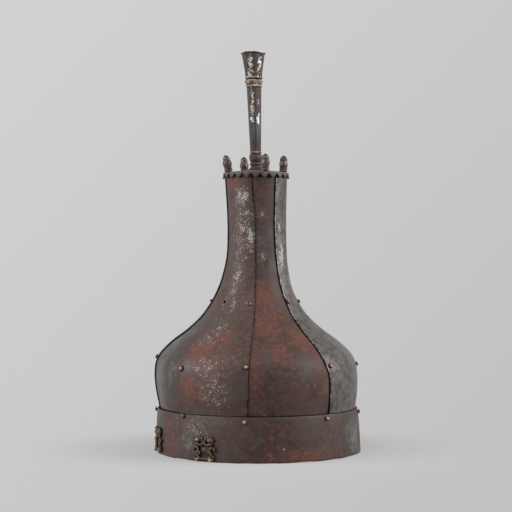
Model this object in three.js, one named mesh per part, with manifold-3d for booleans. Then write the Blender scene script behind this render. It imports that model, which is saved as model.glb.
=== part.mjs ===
// A tall iron helmet of eight riveted plates with a brow band, a toothed crown cap and a plume
// tube, in millimetres. Z is up, the wearer's brow faces -Y, and the origin is the centre of the
// brow band's lower rim. Azimuths are in degrees, from -Y at 0 towards +X at 90.
import * as THREE from "three";
import { mergeVertices } from "three/addons/utils/BufferGeometryUtils.js";
import Module from "manifold-3d";

const wasm = await Module();
wasm.setup();

// Fits shared by every piece
const pieceGap = 0.3; // clearance between pieces that touch
const clenchGap = 0.45; // clearance of a rivet's clenched end, which is flat, to the round inside
const cutOverrun = 1.5; // how far a cutter runs past what it cuts
const weldDistance = 0.001; // vertices closer than this are one
const peenTipShare = 0.75; // tip of a clenched end, as a share of its radius

// Outer face of the raised plates, from the foot under the band to the crown
const plateThickness = 1;
const plateTuck = 12; // how far the plates run down inside the band
const bulgeHeight = 78;
const bulgeRadius = 107.3;
const neckFootHeight = 204;
const neckFootRadius = 32.3;
const neckWaistShare = 0.41; // place of the narrowest part between the neck's foot and the top
const neckWaistRadius = 31.3;
const plateTopHeight = 292;
const plateTopRadius = 33.3;
// Points between foot and bulge: share of the rise, share of the swell
const footShares = [
  [0.32, 0.06],
  [0.6, 0.62],
];
// Points between bulge and neck foot: share of the rise, share of the bulge's reach that is left
const shoulderShares = [
  [0.13, 0.977],
  [0.2, 0.919],
  [0.3, 0.752],
  [0.4, 0.528],
  [0.5, 0.343],
  [0.6, 0.218],
  [0.75, 0.092],
  [0.9, 0.027],
];
const outlineSamples = 240;
const stationCount = 15; // facets from foot to crown

// The hand-made bowl leans: sideways shift towards -X, as shares of the lean, by height as
// shares of the plates' top height
const bowlLean = 4.8;
const leanShares = [
  [0, 0],
  [0.16, 0.3],
  [0.27, 0.62],
  [0.38, 0.8],
  [0.47, 0.92],
  [0.58, 0.85],
  [0.7, 0.45],
  [1, 0.6],
  [1.44, 1.22],
];

// Seams between the plates. Every second plate is raised and laps over its two neighbours.
const seamAzimuths = [-83.5, -46.5, -3.5, 44.5, 87, 132, 179, 228];
const plateCount = seamAzimuths.length;
// How far all seams swing round, in degrees, by height as shares of the plates' top height
const swayShares = [
  [0, -3],
  [0.155, -2.2],
  [0.31, 0],
  [0.52, 1.8],
  [0.7, 0.4],
  [0.8, -0.4],
  [1, -3.6],
];
// How far single seams stray from that, by their place in the list above
const seamStrayShares = {
  1: [
    [0.17, 1],
    [0.3, 0],
    [0.54, -2.5],
    [0.75, 0],
  ],
  2: [
    [0.17, 0],
    [0.38, -0.3],
    [0.45, 0.2],
    [0.52, 1.6],
    [0.58, 2.4],
    [0.64, 1.4],
    [0.7, 0.4],
    [0.82, 0.4],
    [0.9, -0.5],
    [1, -1.5],
  ],
  3: [
    [0.17, 2],
    [0.22, 1.5],
    [0.27, 0.8],
    [0.3, -0.3],
    [0.33, -2.1],
    [0.37, -2.7],
    [0.42, -2.2],
    [0.46, -0.8],
    [0.52, -0.4],
    [0.6, -0.6],
    [0.66, -3],
    [0.74, -5.9],
    [0.82, -6.6],
    [0.9, -4.6],
    [1, -2.4],
  ],
};
const noStray = [
  [0, 0],
  [1, 0],
];
const lapShare = 0.22; // share of a raised plate's width that each neighbour runs under it
const raisedColumns = 7; // facets across a raised plate
const underColumns = 8; // facets across a plate that runs under its neighbours

// Brow band, which fits round the bowl below its bulge
const bandHeight = 46;
const bandThickness = 1.4;
const bulgeOverhang = 1.4; // reach of the bulge beyond the band's top edge
const bandFlare = 2.2; // reach of the band's rim beyond its top edge
const bandFit = 0.7; // clearance of the plates' round feet to the band's flat facets
// Outer face: share of the height, share of the flare
const bandFaceShares = [
  [0, 1],
  [0.8, 0.5],
  [1, 0],
];
const bandLapAzimuth = 157; // where the strip's ends lap, at the back
const bandLapHalf = 6;
const bandLapEase = 5; // the outer end lifts over the inner one within this angle
const bandColumnStep = 6;

// Rivets, placed on the seams in three rows, each inside the raised plate's edge
const rivetInset = 3.6;
const rivetHeadDiameter = 4.8;
const rivetHeadHeight = 1.9;
const rivetShankDiameter = 2.4;
const rivetPeenDiameter = 3.8;
const rivetPeenHeight = 0.8;
const rivetDomeShares = [0.76, 0.66]; // the dome's bend: share of its radius, share of its height
const rivetSides = 8;
const holeSides = 6;
const upperRowHeight = 157;
const middleRowHeight = 94.5;
const bandRowDrop = 4; // below the band's top edge
// How far each seam's rivet strays from its row, as shares of the head's diameter
const upperStrayShares = [0.3, 0.2, -0.25, 0.15, 0.1, -0.2, 0.2, 0];
const middleStrayShares = [1.06, -0.54, 0.15, 0, -0.5, 0.3, -0.2, 0.1];
const bandStrayShares = [0.4, 0.4, -0.2, 0, 0.1, 0.1, -0.2, 0];
// The same for how much further than the inset it sits from the raised plate's edge. The fourth
// rivet of the band sits beside that plate and holds the one that runs under.
const upperInsetShares = [-0.2, 0, 0.1, -0.18, 0, 0, 0, 0];
const middleInsetShares = [0, 0, -0.2, 0.43, 0, 0, 0, 0];
const bandInsetShares = [0, 0.33, -0.25, -2, 0, 0, 0, 0];
const lostRivets = ["rivet_upper_2"]; // gone, but its hole stays
// Height of the two rivets that close the band's lap, as shares of its height
const lapRivetShares = [0.27, 0.7];

// Small fixing holes that lost ornaments left in the band: azimuth, share of the band's height
const bandHoleDiameter = 2;
const bandHoleShares = [
  [13.6, 0.3],
  [-31.2, 0.275],
  [66.8, 0.26],
];

// Crown cap, a shallow cone whose skirt is cut into teeth
const capThickness = 1.5;
const capSlope = 6.5;
const capSkirtThickness = 1.2;
const capSkirtLength = 5.2;
const capFit = 0.45; // clearance of the skirt's facets to the plates inside it
const capToothDepth = 4;
const capToothCount = 23;
const capToothAzimuth = -0.8; // the tip next to the front
const capEdgeChamfer = 0.6;

// Plates under the raised ones turn in below the cap, so that the knobs can clench them
const tabBendRadius = 1.2;
const tabLength = 6;

// Bud-shaped knobs, one over each plate that runs under
const knobCircleRadius = 29.2;
const knobAzimuths = [-80, 19, 98, 205];
const knobHeight = 18;
const knobRadius = 4.9;
const knobShankRadius = 1.1;
const knobPeenRadius = 1.9;
const knobPeenHeight = 1;
const knobLeans = [3.5, 1.5, -3.5, -3]; // degrees beyond the cap's slope
const knobSides = 9;
// Outline from seat to tip: share of the height, share of the radius
const knobShares = [
  [0, 0.7],
  [0.06, 0.7],
  [0.09, 0.88],
  [0.19, 0.9],
  [0.24, 0.72],
  [0.32, 0.94],
  [0.46, 1],
  [0.6, 0.92],
  [0.68, 0.74],
  [0.74, 0.82],
  [0.84, 0.76],
  [0.94, 0.44],
  [1, 0],
];

// Plume tube, eight-sided, open at the top
const tubeSides = 8;
const tubeTwist = 4.6; // azimuth of its front corner
const tubeFlareRadius = 11.2;
const tubeFlareHeight = 4;
const bulbRadius = 7;
const bulbZoneHeight = 15.8;
const shaftHeight = 67.5;
const shaftTopRadius = 7.8;
const collarRadius = 9.4;
const collarZoneHeight = 12.4;
const funnelHeight = 22.5;
const lipRadius = 13.5;
const lipHeight = 2.4;
const tubeWall = 1.3;
const socketFloor = 3.5; // solid metal above the shaft's foot
const tenonRadius = 2.6;
const tenonPeenRadius = 3.9;
const tenonPeenHeight = 1.4;
const washerRadius = 8.5;
const washerThickness = 1.2;
const washerSides = 16;
// Foot flare: share of its height, share of the way in from flare radius to the bulb zone's foot
const flareShares = [
  [0, 0],
  [0.2, 0.42],
  [0.55, 0.8],
];
// Mouldings at the foot: share of the zone's height, share of the bulb's radius
const bulbShares = [
  [0, 0.76],
  [0.06, 0.86],
  [0.2, 0.9],
  [0.27, 0.79],
  [0.34, 0.88],
  [0.5, 0.97],
  [0.66, 1],
  [0.76, 0.95],
  [0.82, 0.8],
  [0.88, 0.9],
  [0.97, 0.9],
  [1, 0.84],
];
// Collar under the funnel: share of the zone's height, share of the collar's radius
const collarShares = [
  [0.05, 0.92],
  [0.2, 0.935],
  [0.27, 0.86],
  [0.36, 0.97],
  [0.6, 1],
  [0.68, 0.9],
  [0.76, 1],
  [0.94, 1],
  [1, 0.97],
];
// Funnel: share of its height, share of the way out from the collar to the lip
const funnelShares = [
  [0.55, 0.36],
  [1, 0.68],
];
// Lip: share of its height, share of the lip's radius
const lipShares = [
  [0.5, 0.975],
  [0.8, 1],
  [1, 0.98],
];

// Openwork brow mounts, cast scrolls set on the band
const mountWidth = 25;
const mountHeight = 26;
const mountStemWidth = 3;
const mountStemDepth = 2.6;
const mountBossRadius = 2.5;
const mountBossDepth = 4.2;
const mountPinRadius = 0.9;
const mountPinPeenRadius = 1.5;
const mountPinPeenDepth = 0.7;
const mountPinSides = 6;
const mountBossSides = 8;
// Where the mounts stand: azimuth, share of the band's height under their feet
const mountPlaceShares = [
  [-30, 0.01],
  [-73, 0.05],
];
const mountPlaceNames = ["front", "side"];
// Stems of one half, across as shares of the width and up as shares of the height.
// Each is drawn once more, mirrored.
const sideStemShares = [
  [-0.17, 0.78],
  [-0.13, 0.88],
  [-0.23, 0.955],
  [-0.36, 0.91],
  [-0.4, 0.76],
  [-0.31, 0.61],
  [-0.27, 0.45],
  [-0.31, 0.29],
  [-0.22, 0.13],
  [-0.08, 0.07],
];
const footStemShares = [
  [-0.3, 0.3],
  [-0.41, 0.2],
  [-0.41, 0.08],
  [-0.3, 0.05],
];
const spurStemShares = [
  [-0.29, 0.5],
  [-0.39, 0.53],
  [-0.47, 0.47],
  [-0.45, 0.39],
];
const leafStemShares = [
  [0, 0.66],
  [-0.06, 0.8],
  [-0.08, 0.97],
];
// Stems that cross the middle
const bowStemShares = [
  [-0.34, 0.71],
  [-0.17, 0.64],
  [0, 0.7],
  [0.17, 0.64],
  [0.34, 0.71],
];
const baseStemShares = [
  [-0.2, 0.08],
  [0, 0.12],
  [0.2, 0.08],
];
const bossShares = [
  [-0.26, 0.82],
  [0.26, 0.82],
  [-0.3, 0.08],
  [0.3, 0.08],
];
// Outline of a boss: share of its radius, share of its depth
const bossDomeShares = [
  [1, 0],
  [0.92, 0.5],
  [0.55, 0.9],
];
const pinShares = [
  [0, 0.7],
  [0, 0.12],
];
// Section of a stem, flat at the back: share of its half width, share of its depth
const stemSectionShares = [
  [-1, 0],
  [-0.45, 1],
  [0.45, 1],
  [1, 0],
];
const stemTipShare = 0.55; // a stem's end, as a share of its full size
const stemTaperShare = 0.25; // of a stem's length, at each end
const stemSteps = 4; // at least, along a stem

// Finishes
const ironFinish = { color: 0x51443f, roughness: 0.62, metalness: 0.7 };
const bandFinish = { color: 0x483d39, roughness: 0.66, metalness: 0.7 };
const knobFinish = { color: 0x43312b, roughness: 0.5, metalness: 0.75 };
const tubeFinish = { color: 0x5d534f, roughness: 0.5, metalness: 0.8 };
const rivetFinish = { color: 0x6b5046, roughness: 0.5, metalness: 0.8 };
const giltFinish = { color: 0x7d6437, roughness: 0.45, metalness: 0.9 };

// Derived places
const bandTopRadius = bulgeRadius - bulgeOverhang;
const bandRimRadius = bandTopRadius + bandFlare;
const plateFootRadius = bandTopRadius - bandThickness - bandFit;
const plateFootHeight = bandHeight - plateTuck;
const neckWaistHeight = neckFootHeight + (plateTopHeight - neckFootHeight) * neckWaistShare;
const laySpacing = plateThickness + pieceGap; // from one plate's outer face to the next one's
const plateLayers = laySpacing + plateThickness; // two plates riveted together
const capUnderHeight = plateTopHeight + pieceGap; // underside of the cap at its skirt
const capSkirtRadius = plateTopRadius + capFit;
const capOuterRadius = capSkirtRadius + capSkirtThickness;
const capTilt = THREE.MathUtils.degToRad(capSlope);

// Piecewise smooth value through [place, value] pairs
function smoothThrough(pairs) {
  const places = pairs.map(([place]) => place);
  const values = pairs.map(([, value]) => value);
  const curve = new THREE.CubicInterpolant(places, values, 1);
  return (place) => curve.evaluate(place)[0];
}

const { lerp, degToRad } = THREE.MathUtils;

const outlineRadius = smoothThrough([
  [plateFootHeight, plateFootRadius],
  ...footShares.map(([rise, swell]) => [
    lerp(plateFootHeight, bulgeHeight, rise),
    lerp(plateFootRadius, bulgeRadius, swell),
  ]),
  [bulgeHeight, bulgeRadius],
  ...shoulderShares.map(([rise, reach]) => [
    lerp(bulgeHeight, neckFootHeight, rise),
    lerp(neckFootRadius, bulgeRadius, reach),
  ]),
  [neckFootHeight, neckFootRadius],
  [neckWaistHeight, neckWaistRadius],
  [plateTopHeight, plateTopRadius],
]);
const seamSway = smoothThrough(swayShares);
const seamStrays = seamAzimuths.map((_, seam) => smoothThrough(seamStrayShares[seam] ?? noStray));
const leanShare = smoothThrough(leanShares);

// Azimuth of a seam in radians. Seam numbers run on past one turn.
function seamAzimuth(seam, height) {
  const turns = Math.floor(seam / plateCount);
  const number = seam - turns * plateCount;
  const rise = height / plateTopHeight;
  const azimuth = seamAzimuths[number] + seamSway(rise) + seamStrays[number](rise);
  return degToRad(azimuth) + turns * Math.PI * 2;
}

// Point at a radius, azimuth and height
function around(radius, azimuth, height) {
  return new THREE.Vector3(radius * Math.sin(azimuth), -radius * Math.cos(azimuth), height);
}

// Outline points for the plates' facets, closer together where the outline bends
function outlineStations() {
  const fine = [];
  for (let i = 0; i <= outlineSamples; i++) {
    const height = lerp(plateFootHeight, plateTopHeight, i / outlineSamples);
    fine.push(new THREE.Vector2(outlineRadius(height), height));
  }
  const runs = fine.slice(1).map((point, i) => point.clone().sub(fine[i]));
  const bends = runs.map((run, i) => (i ? Math.abs(run.angle() - runs[i - 1].angle()) : 0));
  const wholeRun = runs.reduce((sum, run) => sum + run.length(), 0);
  const wholeBend = bends.reduce((sum, bend) => sum + bend, 0);
  const measures = [0];
  runs.forEach((run, i) => {
    measures.push(measures[i] + run.length() / wholeRun + bends[i] / wholeBend);
  });
  const stations = [];
  for (let i = 0; i <= stationCount; i++) {
    const wanted = (i / stationCount) * measures[outlineSamples];
    const next = Math.max(1, measures.findIndex((measure) => measure >= wanted));
    const part = (wanted - measures[next - 1]) / (measures[next] - measures[next - 1]);
    stations.push(fine[next - 1].clone().lerp(fine[next], part));
  }
  return stations;
}

// The same outline moved inwards, with each facet kept parallel to its own
function inwardOutline(points, distance) {
  return points.map((point, i) => {
    const before = point.clone().sub(points[Math.max(i - 1, 0)]).normalize();
    const after = points[Math.min(i + 1, points.length - 1)].clone().sub(point).normalize();
    const along = before.clone().add(after).normalize();
    const ends = i === 0 || i === points.length - 1;
    const miter = ends ? 1 : along.dot(after);
    const inward = new THREE.Vector2(-along.y, along.x);
    return point.clone().addScaledVector(inward, distance / miter);
  });
}

const raisedOutline = outlineStations();

// Direction out of the raised plates at a station, midway between its two facets
function stationOutward(index) {
  const low = raisedOutline[Math.max(index - 1, 0)];
  const high = raisedOutline[Math.min(index + 1, stationCount)];
  const here = raisedOutline[index];
  const before = here.clone().sub(low).normalize();
  const along = high.clone().sub(here).normalize().add(before).normalize();
  return new THREE.Vector2(along.y, -along.x);
}

// Point on the raised plates' facets at a height, and the direction out of them
function plateFace(height) {
  const next = raisedOutline.findIndex((point) => point.y >= height);
  const low = raisedOutline[next - 1];
  const high = raisedOutline[next];
  const part = (height - low.y) / (high.y - low.y);
  const outward = stationOutward(next - 1).lerp(stationOutward(next), part).normalize();
  return { point: low.clone().lerp(high, part), outward };
}

const bandOutline = bandFaceShares.map(
  ([rise, flare]) =>
    new THREE.Vector2(lerp(bandTopRadius, bandRimRadius, flare), bandHeight * rise),
);

// Radius of the band's outer face at a height, and how far that face leans back per unit of height
function bandFace(height) {
  const next = Math.max(1, bandOutline.findIndex((point) => point.y >= height));
  const low = bandOutline[next - 1];
  const high = bandOutline[next];
  const tilt = (low.x - high.x) / (high.y - low.y);
  return { radius: low.x - tilt * (height - low.y), tilt };
}

// Height of the cap's underside and of its top at a radius
function capUnder(radius) {
  return capUnderHeight + (capSkirtRadius - radius) * Math.tan(capTilt);
}

function capTop(radius) {
  return capUnder(radius) + capThickness;
}

// A solid for joining and cutting, from a closed geometry
function solidFrom(geometry) {
  const bare = geometry.index ? geometry.toNonIndexed() : geometry.clone();
  bare.deleteAttribute("normal");
  bare.deleteAttribute("uv");
  const merged = mergeVertices(bare, weldDistance);
  const mesh = new wasm.Mesh({
    numProp: 3,
    vertProperties: Float32Array.from(merged.attributes.position.array),
    triVerts: Uint32Array.from(merged.index.array),
  });
  return new wasm.Manifold(mesh);
}

function geometryFrom(solid) {
  const mesh = solid.getMesh();
  const geometry = new THREE.BufferGeometry();
  geometry.setAttribute("position", new THREE.BufferAttribute(mesh.vertProperties, 3));
  geometry.setIndex(new THREE.BufferAttribute(mesh.triVerts, 1));
  return geometry;
}

function cut(geometry, cutters) {
  const whole = solidFrom(geometry);
  return geometryFrom(cutters.reduce((left, cutter) => left.subtract(solidFrom(cutter)), whole));
}

function join(geometries) {
  const [first, ...rest] = geometries.map(solidFrom);
  return geometryFrom(rest.reduce((sum, solid) => sum.add(solid), first));
}

// A turned piece about Z from [radius, height] points
function turned(profile, sides) {
  const points = profile.map(([radius, height]) => new THREE.Vector2(radius, height));
  return new THREE.LatheGeometry(points, sides).rotateX(Math.PI / 2);
}

// A bar of round section along Z between two heights
function bar(radius, low, high, sides) {
  const geometry = new THREE.CylinderGeometry(radius, radius, high - low, sides);
  return geometry.rotateX(Math.PI / 2).translate(0, 0, (high + low) / 2);
}

// Moves a piece made about Z so that Z points along outward and its origin lies at a place
function seated(geometry, place, outward) {
  const turn = new THREE.Quaternion().setFromUnitVectors(new THREE.Vector3(0, 0, 1), outward);
  return geometry.applyQuaternion(turn).translate(place.x, place.y, place.z);
}

// A closed wall between an outer and an inner grid of points, rows from low to high and
// columns towards growing azimuth
function wall(outerRows, innerRows) {
  const rows = outerRows.length;
  const columns = outerRows[0].length;
  const points = [...outerRows.flat(), ...innerRows.flat()];
  const outer = (row, column) => row * columns + column;
  const inner = (row, column) => (rows + row) * columns + column;
  const corners = [];
  const face = (a, b, c, d) => corners.push(a, b, c, a, c, d);
  const top = rows - 1;
  const last = columns - 1;
  for (let row = 0; row < top; row++) {
    for (let column = 0; column < last; column++) {
      const [up, over] = [row + 1, column + 1];
      face(outer(row, column), outer(row, over), outer(up, over), outer(up, column));
      face(inner(row, column), inner(up, column), inner(up, over), inner(row, over));
    }
    face(outer(row, 0), outer(row + 1, 0), inner(row + 1, 0), inner(row, 0));
    face(outer(row, last), inner(row, last), inner(row + 1, last), outer(row + 1, last));
  }
  for (let column = 0; column < last; column++) {
    const over = column + 1;
    face(outer(0, column), inner(0, column), inner(0, over), outer(0, over));
    face(outer(top, column), outer(top, over), inner(top, over), inner(top, column));
  }
  const geometry = new THREE.BufferGeometry().setFromPoints(points);
  geometry.setIndex(corners);
  return geometry;
}

// A plate between two azimuth edges, from its outer and inner outlines
function plateWall(outerOutline, innerOutline, leftEdge, rightEdge, columns) {
  const grid = (outline) =>
    outline.map((point) => {
      const height = Math.min(point.y, plateTopHeight);
      const [left, right] = [leftEdge(height), rightEdge(height)];
      const row = [];
      for (let column = 0; column <= columns; column++) {
        row.push(around(point.x, lerp(left, right, column / columns), point.y));
      }
      return row;
    });
  return wall(grid(outerOutline), grid(innerOutline));
}

// Outer outline of the plates that run under: one lay in, then bent inwards below the cap
function underOutline() {
  const lay = inwardOutline(raisedOutline, laySpacing);
  const wallRadius = lay[lay.length - 1].x;
  const bendRadius = wallRadius - tabBendRadius;
  const bendHeight = capUnder(bendRadius) - pieceGap - tabBendRadius / Math.cos(capTilt);
  const upright = lay.filter((point) => point.y < bendHeight);
  const turn = Math.PI / 2 - capTilt;
  const bend = [0, turn / 2, turn].map(
    (angle) =>
      new THREE.Vector2(
        bendRadius + tabBendRadius * Math.cos(angle),
        bendHeight + tabBendRadius * Math.sin(angle),
      ),
  );
  const end = bend[2].clone();
  end.x -= tabLength * Math.cos(capTilt);
  end.y += tabLength * Math.sin(capTilt);
  return [...upright, ...bend, end];
}

// Rivets of the three rows: where they sit, which way they point and how much they grip
function rivetSeats() {
  const seats = [];
  for (let seam = 0; seam < plateCount; seam++) {
    const side = seam % 2 ? 1 : -1; // towards the raised plate
    const stray = (shares) => shares[seam] * rivetHeadDiameter;
    const azimuthAt = (height, insetShares) =>
      seamAzimuth(seam, height) + (side * (rivetInset + stray(insetShares))) / outlineRadius(height);
    const rows = [
      ["upper", upperRowHeight + stray(upperStrayShares), upperInsetShares],
      ["middle", middleRowHeight + stray(middleStrayShares), middleInsetShares],
    ];
    for (const [row, height, insetShares] of rows) {
      const { point, outward } = plateFace(height);
      const azimuth = azimuthAt(height, insetShares);
      seats.push({
        row,
        seam,
        grip: plateLayers,
        place: around(point.x, azimuth, point.y),
        outward: around(outward.x, azimuth, outward.y),
      });
    }
    const height = bandHeight - bandRowDrop + stray(bandStrayShares);
    const azimuth = azimuthAt(height, bandInsetShares);
    const { radius, tilt } = bandFace(height);
    seats.push({
      row: "band",
      seam,
      grip: radius - plateFace(height).point.x + plateLayers,
      place: around(radius, azimuth, height),
      outward: around(1, azimuth, tilt / 2).normalize(), // midway between band and plates
    });
  }
  return seats;
}

const seats = rivetSeats();

// A domed rivet about Z with its head above 0 and its clenched end below the grip
function rivet(grip) {
  const [head, shank, peen] = [rivetHeadDiameter, rivetShankDiameter, rivetPeenDiameter].map(
    (diameter) => diameter / 2,
  );
  const seat = pieceGap;
  const clench = -grip - clenchGap;
  const profile = [
    [0, clench - rivetPeenHeight],
    [peen, clench],
    [shank, clench],
    [shank, seat],
    [head, seat],
    [head * rivetDomeShares[0], seat + rivetHeadHeight * rivetDomeShares[1]],
    [0, seat + rivetHeadHeight],
  ];
  return turned(profile, rivetSides);
}

// The cutter for a rivet's hole
function rivetHole(grip) {
  const radius = rivetShankDiameter / 2 + pieceGap;
  return bar(radius, -grip - cutOverrun, cutOverrun, holeSides);
}

const holeAt = (seat) => seated(rivetHole(seat.grip), seat.place, seat.outward);

// Knob frame: its seat on the cap, and its leaning axis
function knobSeat(number) {
  const azimuth = degToRad(knobAzimuths[number]);
  const lean = capTilt + degToRad(knobLeans[number]);
  return {
    place: around(knobCircleRadius, azimuth, capTop(knobCircleRadius)),
    outward: around(Math.sin(lean), azimuth, Math.cos(lean)),
  };
}

// Depth of what a knob clenches: the cap and the turned-in plate below it
const knobGrip = capThickness + pieceGap + plateThickness;

function knob() {
  const clench = -knobGrip - pieceGap;
  const profile = [
    [0, clench - knobPeenHeight],
    [knobPeenRadius * peenTipShare, clench - knobPeenHeight],
    [knobPeenRadius, clench],
    [knobShankRadius, clench],
    [knobShankRadius, pieceGap],
    ...knobShares.map(([rise, swell]) => [knobRadius * swell, pieceGap + knobHeight * rise]),
  ];
  return turned(profile, knobSides);
}

function knobHole(number) {
  const { place, outward } = knobSeat(number);
  const radius = knobShankRadius + pieceGap;
  const hole = bar(radius, -knobGrip - cutOverrun, cutOverrun, holeSides);
  return seated(hole, place, outward);
}

// Raised plates have odd numbers, and the plates between them run under on both sides
function plate(number) {
  const raised = number % 2 === 1;
  const holes = seats.filter(({ seam }) => seam === number || seam === (number + 1) % plateCount);
  const cutters = holes.map(holeAt);
  if (raised) {
    const shell = plateWall(
      raisedOutline,
      inwardOutline(raisedOutline, plateThickness),
      (height) => seamAzimuth(number, height),
      (height) => seamAzimuth(number + 1, height),
      raisedColumns,
    );
    return cut(shell, cutters);
  }
  const lapUnder = (from, to) => (height) =>
    lerp(seamAzimuth(from, height), seamAzimuth(to, height), lapShare);
  const outer = underOutline();
  const shell = plateWall(
    outer,
    inwardOutline(outer, plateThickness),
    lapUnder(number, number - 1),
    lapUnder(number + 1, number + 2),
    underColumns,
  );
  return cut(shell, [...cutters, knobHole(number / 2)]);
}

// The band is one strip bent round, with its outer end lifted over the inner one
function bandLift(azimuth) {
  const end = bandLapAzimuth + bandLapHalf;
  const start = bandLapAzimuth - bandLapHalf - bandLapEase;
  const share = THREE.MathUtils.smoothstep(azimuth, start, start + bandLapEase);
  return azimuth > end ? 0 : share * (bandThickness + pieceGap);
}

function bandAzimuths() {
  const first = bandLapAzimuth - bandLapHalf - 360;
  const last = bandLapAzimuth + bandLapHalf;
  const steps = Math.round((last - first) / bandColumnStep);
  const azimuths = [];
  for (let i = 0; i <= steps; i++) azimuths.push(lerp(first, last, i / steps));
  return azimuths;
}

function browBand() {
  const grid = (inset) =>
    bandOutline.map((point) =>
      bandAzimuths().map((azimuth) =>
        around(point.x - inset + bandLift(azimuth), degToRad(azimuth), point.y),
      ),
    );
  const holes = seats.filter(({ row }) => row === "band").map(holeAt);
  return cut(wall(grid(0), grid(bandThickness)), [
    ...holes,
    ...lapRivetSeats().map(holeAt),
    ...bandHoleShares.map(bandHole),
    ...mountPlaceShares.flatMap(mountPinHoles),
  ]);
}

function lapRivetSeats() {
  const azimuth = degToRad(bandLapAzimuth);
  const doubled = bandThickness + pieceGap;
  return lapRivetShares.map((share) => {
    const height = bandHeight * share;
    const { radius, tilt } = bandFace(height);
    return {
      grip: doubled + bandThickness,
      place: around(radius + doubled, azimuth, height),
      outward: around(1, azimuth, tilt).normalize(),
    };
  });
}

// A small round hole straight through the band
function bandHole([azimuth, share]) {
  const height = bandHeight * share;
  const turn = degToRad(azimuth);
  return bandCutter(bandHoleDiameter / 2, turn, height);
}

// A round cutter through the band at an azimuth and height
function bandCutter(radius, azimuth, height) {
  const hole = bar(radius, -bandThickness - cutOverrun, cutOverrun, holeSides);
  return seated(hole, around(bandFace(height).radius, azimuth, height), around(1, azimuth, 0));
}

// The cap's shell, turned with two facets to a tooth, then its lower edge drawn into teeth
function crownCap() {
  const tip = capUnderHeight - capSkirtLength;
  const shoulder = capTop(capOuterRadius - capEdgeChamfer);
  const boreRadius = tenonRadius + pieceGap;
  const profile = [
    [boreRadius, capUnder(boreRadius)],
    [capSkirtRadius, capUnderHeight],
    [capSkirtRadius, tip],
    [capOuterRadius, tip],
    [capOuterRadius, shoulder - capEdgeChamfer],
    [capOuterRadius - capEdgeChamfer, shoulder],
    [boreRadius, capTop(boreRadius)],
    [boreRadius, capUnder(boreRadius)],
  ];
  const columns = capToothCount * 2;
  const geometry = turned(profile, columns);
  const places = geometry.attributes.position;
  for (let i = 0; i < places.count; i++) {
    const column = Math.floor(i / profile.length);
    const onEdge = [2, 3].includes(i % profile.length);
    if (onEdge && column % 2) places.setZ(i, tip + capToothDepth);
  }
  geometry.rotateZ(degToRad(capToothAzimuth));
  return cut(geometry, knobAzimuths.map((_, number) => knobHole(number)));
}

// Profile of the tube's outside, [radius, height above the seat], from the foot to the mouth
function tubeOutside() {
  const bulbFoot = tubeFlareHeight;
  const shaftFoot = bulbFoot + bulbZoneHeight;
  const collarFoot = shaftFoot + shaftHeight;
  const funnelFoot = collarFoot + collarZoneHeight;
  const lipFoot = funnelFoot + funnelHeight;
  const bulbFootRadius = bulbRadius * bulbShares[0][1];
  const funnelFootRadius = collarRadius * collarShares[collarShares.length - 1][1];
  return [
    ...flareShares.map(([rise, reach]) => [
      lerp(tubeFlareRadius, bulbFootRadius, reach),
      tubeFlareHeight * rise,
    ]),
    ...bulbShares.map(([rise, swell]) => [bulbRadius * swell, bulbFoot + bulbZoneHeight * rise]),
    [shaftTopRadius, collarFoot],
    ...collarShares.map(([rise, swell]) => [
      collarRadius * swell,
      collarFoot + collarZoneHeight * rise,
    ]),
    ...funnelShares.map(([rise, reach]) => [
      lerp(funnelFootRadius, lipRadius, reach),
      funnelFoot + funnelHeight * rise,
    ]),
    ...lipShares.map(([rise, swell]) => [lipRadius * swell, lipFoot + lipHeight * rise]),
  ];
}

// Profile of the tube's bore, from the mouth down to its floor on the axis
function tubeBore() {
  const shaftFoot = tubeFlareHeight + bulbZoneHeight;
  const collarFoot = shaftFoot + shaftHeight;
  const funnelFoot = collarFoot + collarZoneHeight;
  const lipFoot = funnelFoot + funnelHeight;
  const funnelFootRadius = collarRadius * collarShares[collarShares.length - 1][1];
  const shaftFootRadius = bulbRadius * bulbShares[bulbShares.length - 1][1];
  const funnelBore = funnelShares.map(([rise, reach]) => [
    lerp(funnelFootRadius, lipRadius, reach) - tubeWall,
    funnelFoot + funnelHeight * rise,
  ]);
  return [
    [lipRadius - tubeWall, lipFoot + lipHeight],
    ...funnelBore.reverse(),
    [funnelFootRadius - tubeWall, funnelFoot],
    [shaftTopRadius - tubeWall, collarFoot],
    [shaftFootRadius - tubeWall, shaftFoot + socketFloor],
    [0, shaftFoot + socketFloor],
  ];
}

const tubeSeatHeight = capTop(tubeFlareRadius) + pieceGap;
const washerTop = capUnder(washerRadius) - pieceGap;

function plumeTube() {
  const clench = washerTop - washerThickness - pieceGap - tubeSeatHeight;
  const profile = [
    [0, clench - tenonPeenHeight],
    [tenonPeenRadius * peenTipShare, clench - tenonPeenHeight],
    [tenonPeenRadius, clench],
    [tenonRadius, clench],
    [tenonRadius, capTop(tenonRadius) + pieceGap - tubeSeatHeight],
    ...tubeOutside(),
    ...tubeBore(),
  ];
  const geometry = turned(profile, tubeSides).rotateZ(degToRad(tubeTwist));
  return geometry.translate(0, 0, tubeSeatHeight);
}

function tenonWasher() {
  const boreRadius = tenonRadius + pieceGap;
  const low = washerTop - washerThickness;
  const profile = [
    [boreRadius, low],
    [washerRadius, low],
    [washerRadius, washerTop],
    [boreRadius, washerTop],
    [boreRadius, low],
  ];
  return turned(profile, washerSides);
}

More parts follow.
